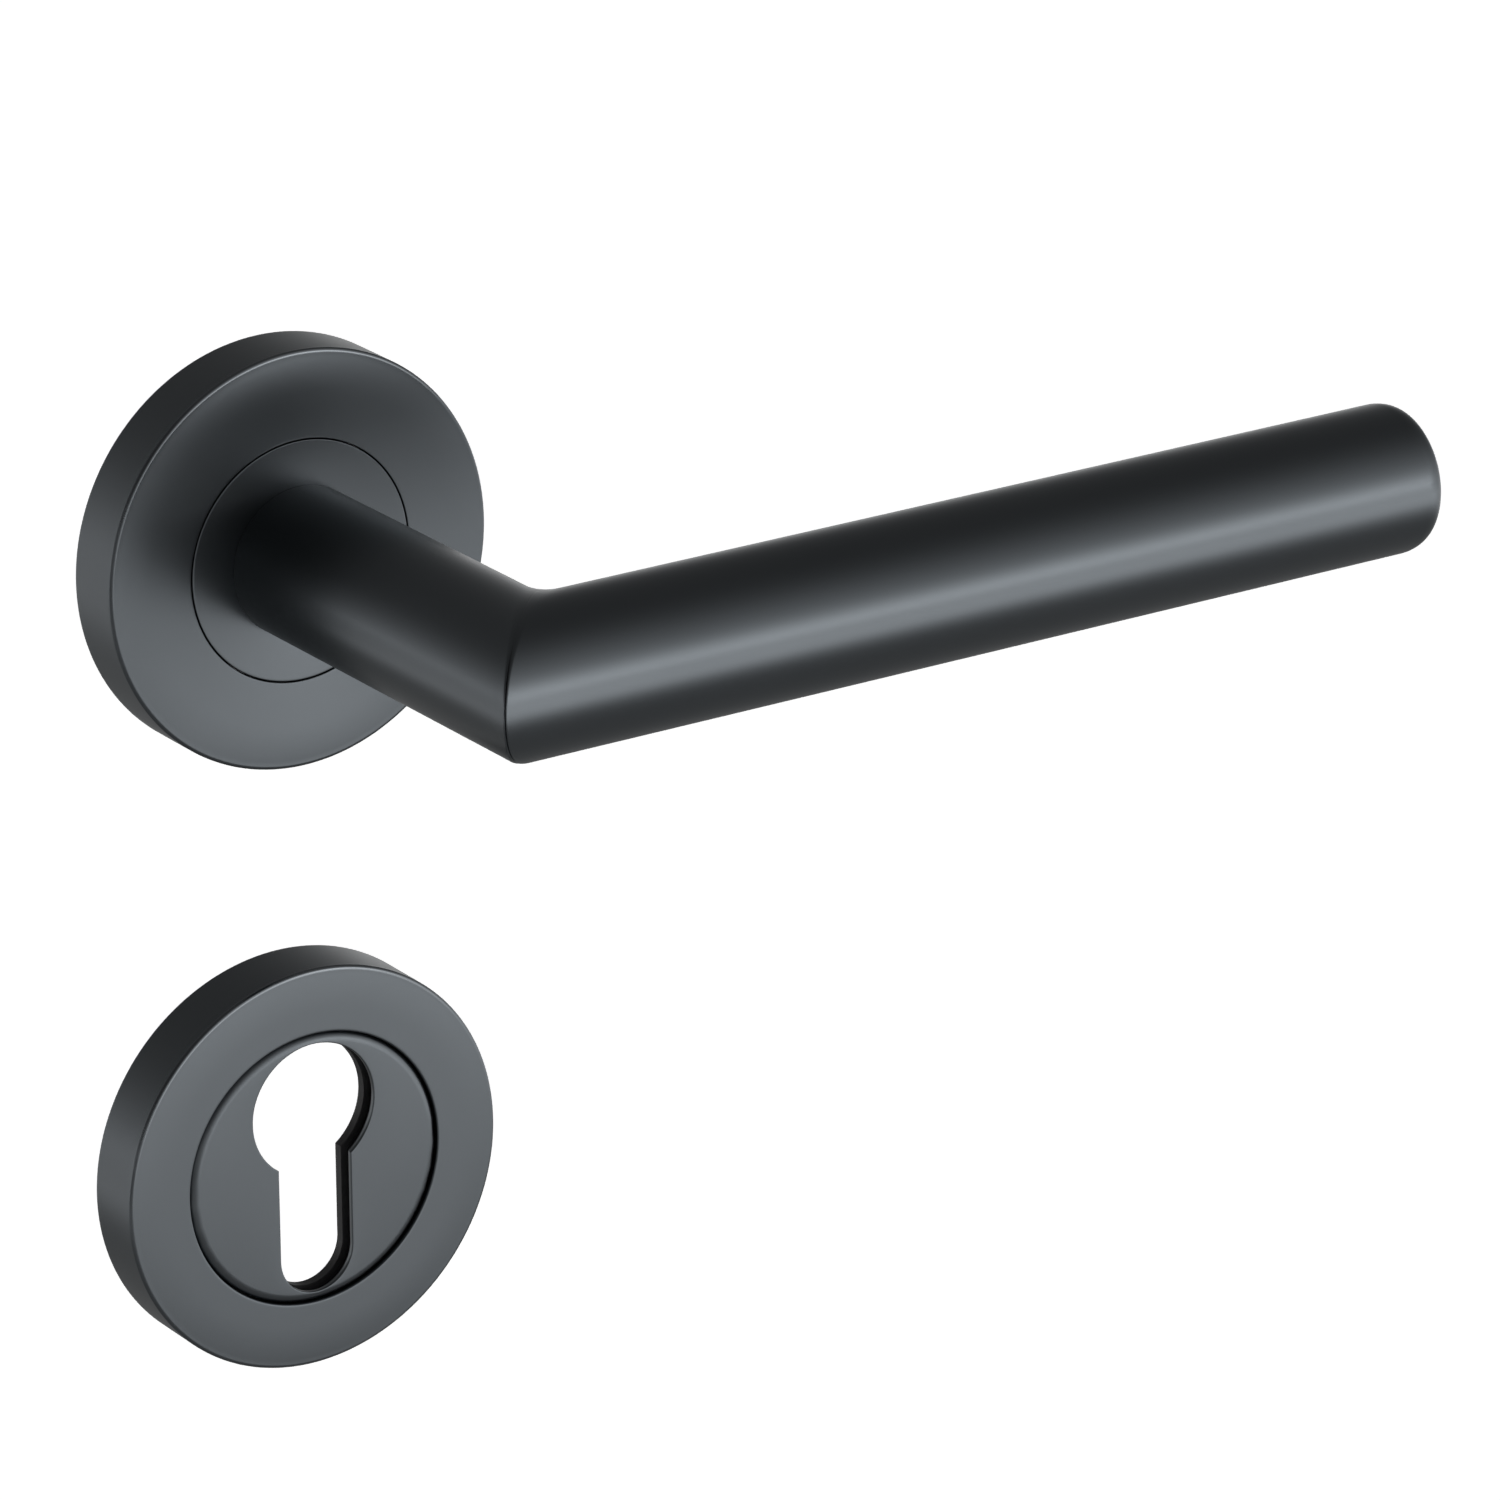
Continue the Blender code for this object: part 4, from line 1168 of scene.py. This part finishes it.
lightLook = {
    "skyRadius": 18.0,
    "skySides": 64,
    "skyRings": 32,
    "skyStops": [  # by height of the direction, from straight down to straight up
        (0.0, grey(0.75)),
        (0.5, grey(0.62)),
        (0.57, grey(0.37)),
        (0.68, grey(0.16)),
        (0.76, grey(0.13)),
        (0.82, grey(0.12)),
        (1.0, grey(0.10)),
    ],
    "darkSide": Vector((-0.8, -0.6, 0.0)),
    "darkShare": 0.55,
    "keySide": Vector((0.56, -0.83, 0.0)).normalized(),
    "keyGlows": [(0.70, 4.0), (2.0, 60.0)],  # strength, and how tight
    "sunFrom": Vector((-0.3, -0.5, 2.2)),
    "sunSpread": math.radians(30),
    "sunStrength": 1.2,
}


# the sky's colour in a direction
def skyColour(g, direction):
    look = lightLook

    def facing(side):
        return g.vector("DOT_PRODUCT", direction, side, out="Value").most(0.0)

    up = g.add("SeparateXYZ", None, {"Vector": direction}, "Z")
    sky = g.add("ValToRGB", {"stops": look["skyStops"]}, {"Fac": up * 0.5 + 0.5})
    shade = 1 - look["darkShare"] * facing(look["darkSide"])
    key = sum(strength * facing(look["keySide"])**tight for strength, tight in look["keyGlows"])
    shaded = g.add("VectorMath", {"operation": "SCALE"}, {0: sky, "Scale": shade})
    return g.vector("ADD", shaded, key)


# white behind everything, with the sky's light; the metal sees the sky on a card of its own
def makeLight():
    look = lightLook
    world = bpy.data.worlds.new("studio")
    bpy.context.scene.world = world
    world.cycles_visibility.glossy = False
    g = Graph(world)
    light = g.add("Background", None, {"Color": skyColour(g, g.add("TexCoord", out="Generated"))})
    white = g.add("Background", None, {"Color": grey(1.0)})
    shown = g.add("MixShader", None, {0: seenRays(g), 1: light, 2: white})
    g.add("OutputWorld", None, {"Surface": shown})

    build = bmesh.new()
    bmesh.ops.create_uvsphere(
        build, u_segments=look["skySides"], v_segments=look["skyRings"], radius=look["skyRadius"])
    g, place = makeCard(stagePiece("skyCard", build, (0.0, 0.0, 0.0)))
    face = skyColour(g, g.vector("NORMALIZE", place))
    g.surface(g.add("Emission", None, {"Color": face}))

    lamp = bpy.data.lights.new("softSun", "SUN")
    lamp.energy = look["sunStrength"]
    lamp.angle = look["sunSpread"]
    sun = addObject("softSun", lamp)
    sun.location = look["sunFrom"]
    sun.rotation_euler = (-look["sunFrom"]).to_track_quat("-Z", "Y").to_euler()
    sun.visible_camera = False
    sun.visible_glossy = False


cameraLook = {
    "target": Vector((52.7 * mm, -27.2 * mm, -29.9 * mm)),
    "distance": 997 * mm,
    "azimuth": math.radians(-34.36),  # 0 looks along +Y
    "elevation": math.radians(20.55),
    "roll": math.radians(-0.18),
    "lens": 193.5,
    "sensor": 36.0,
}


def makeCamera():
    look = cameraLook
    data = bpy.data.cameras.new("camera")
    data.lens = look["lens"]
    data.sensor_width = look["sensor"]
    camera = addObject("camera", data)
    flat = math.cos(look["elevation"])
    offset = Vector((math.sin(look["azimuth"]) * flat, -math.cos(look["azimuth"]) * flat,
                     math.sin(look["elevation"])))
    camera.location = look["target"] + offset * look["distance"]
    camera.rotation_euler = (-offset).to_track_quat("-Z", "Y").to_euler()
    camera.rotation_euler.rotate_axis("Z", look["roll"])
    bpy.context.scene.camera = camera


makeStage()
makeLight()
makeCamera()
bpy.context.scene.view_settings.view_transform = "Standard"
print("stage, light and camera set")
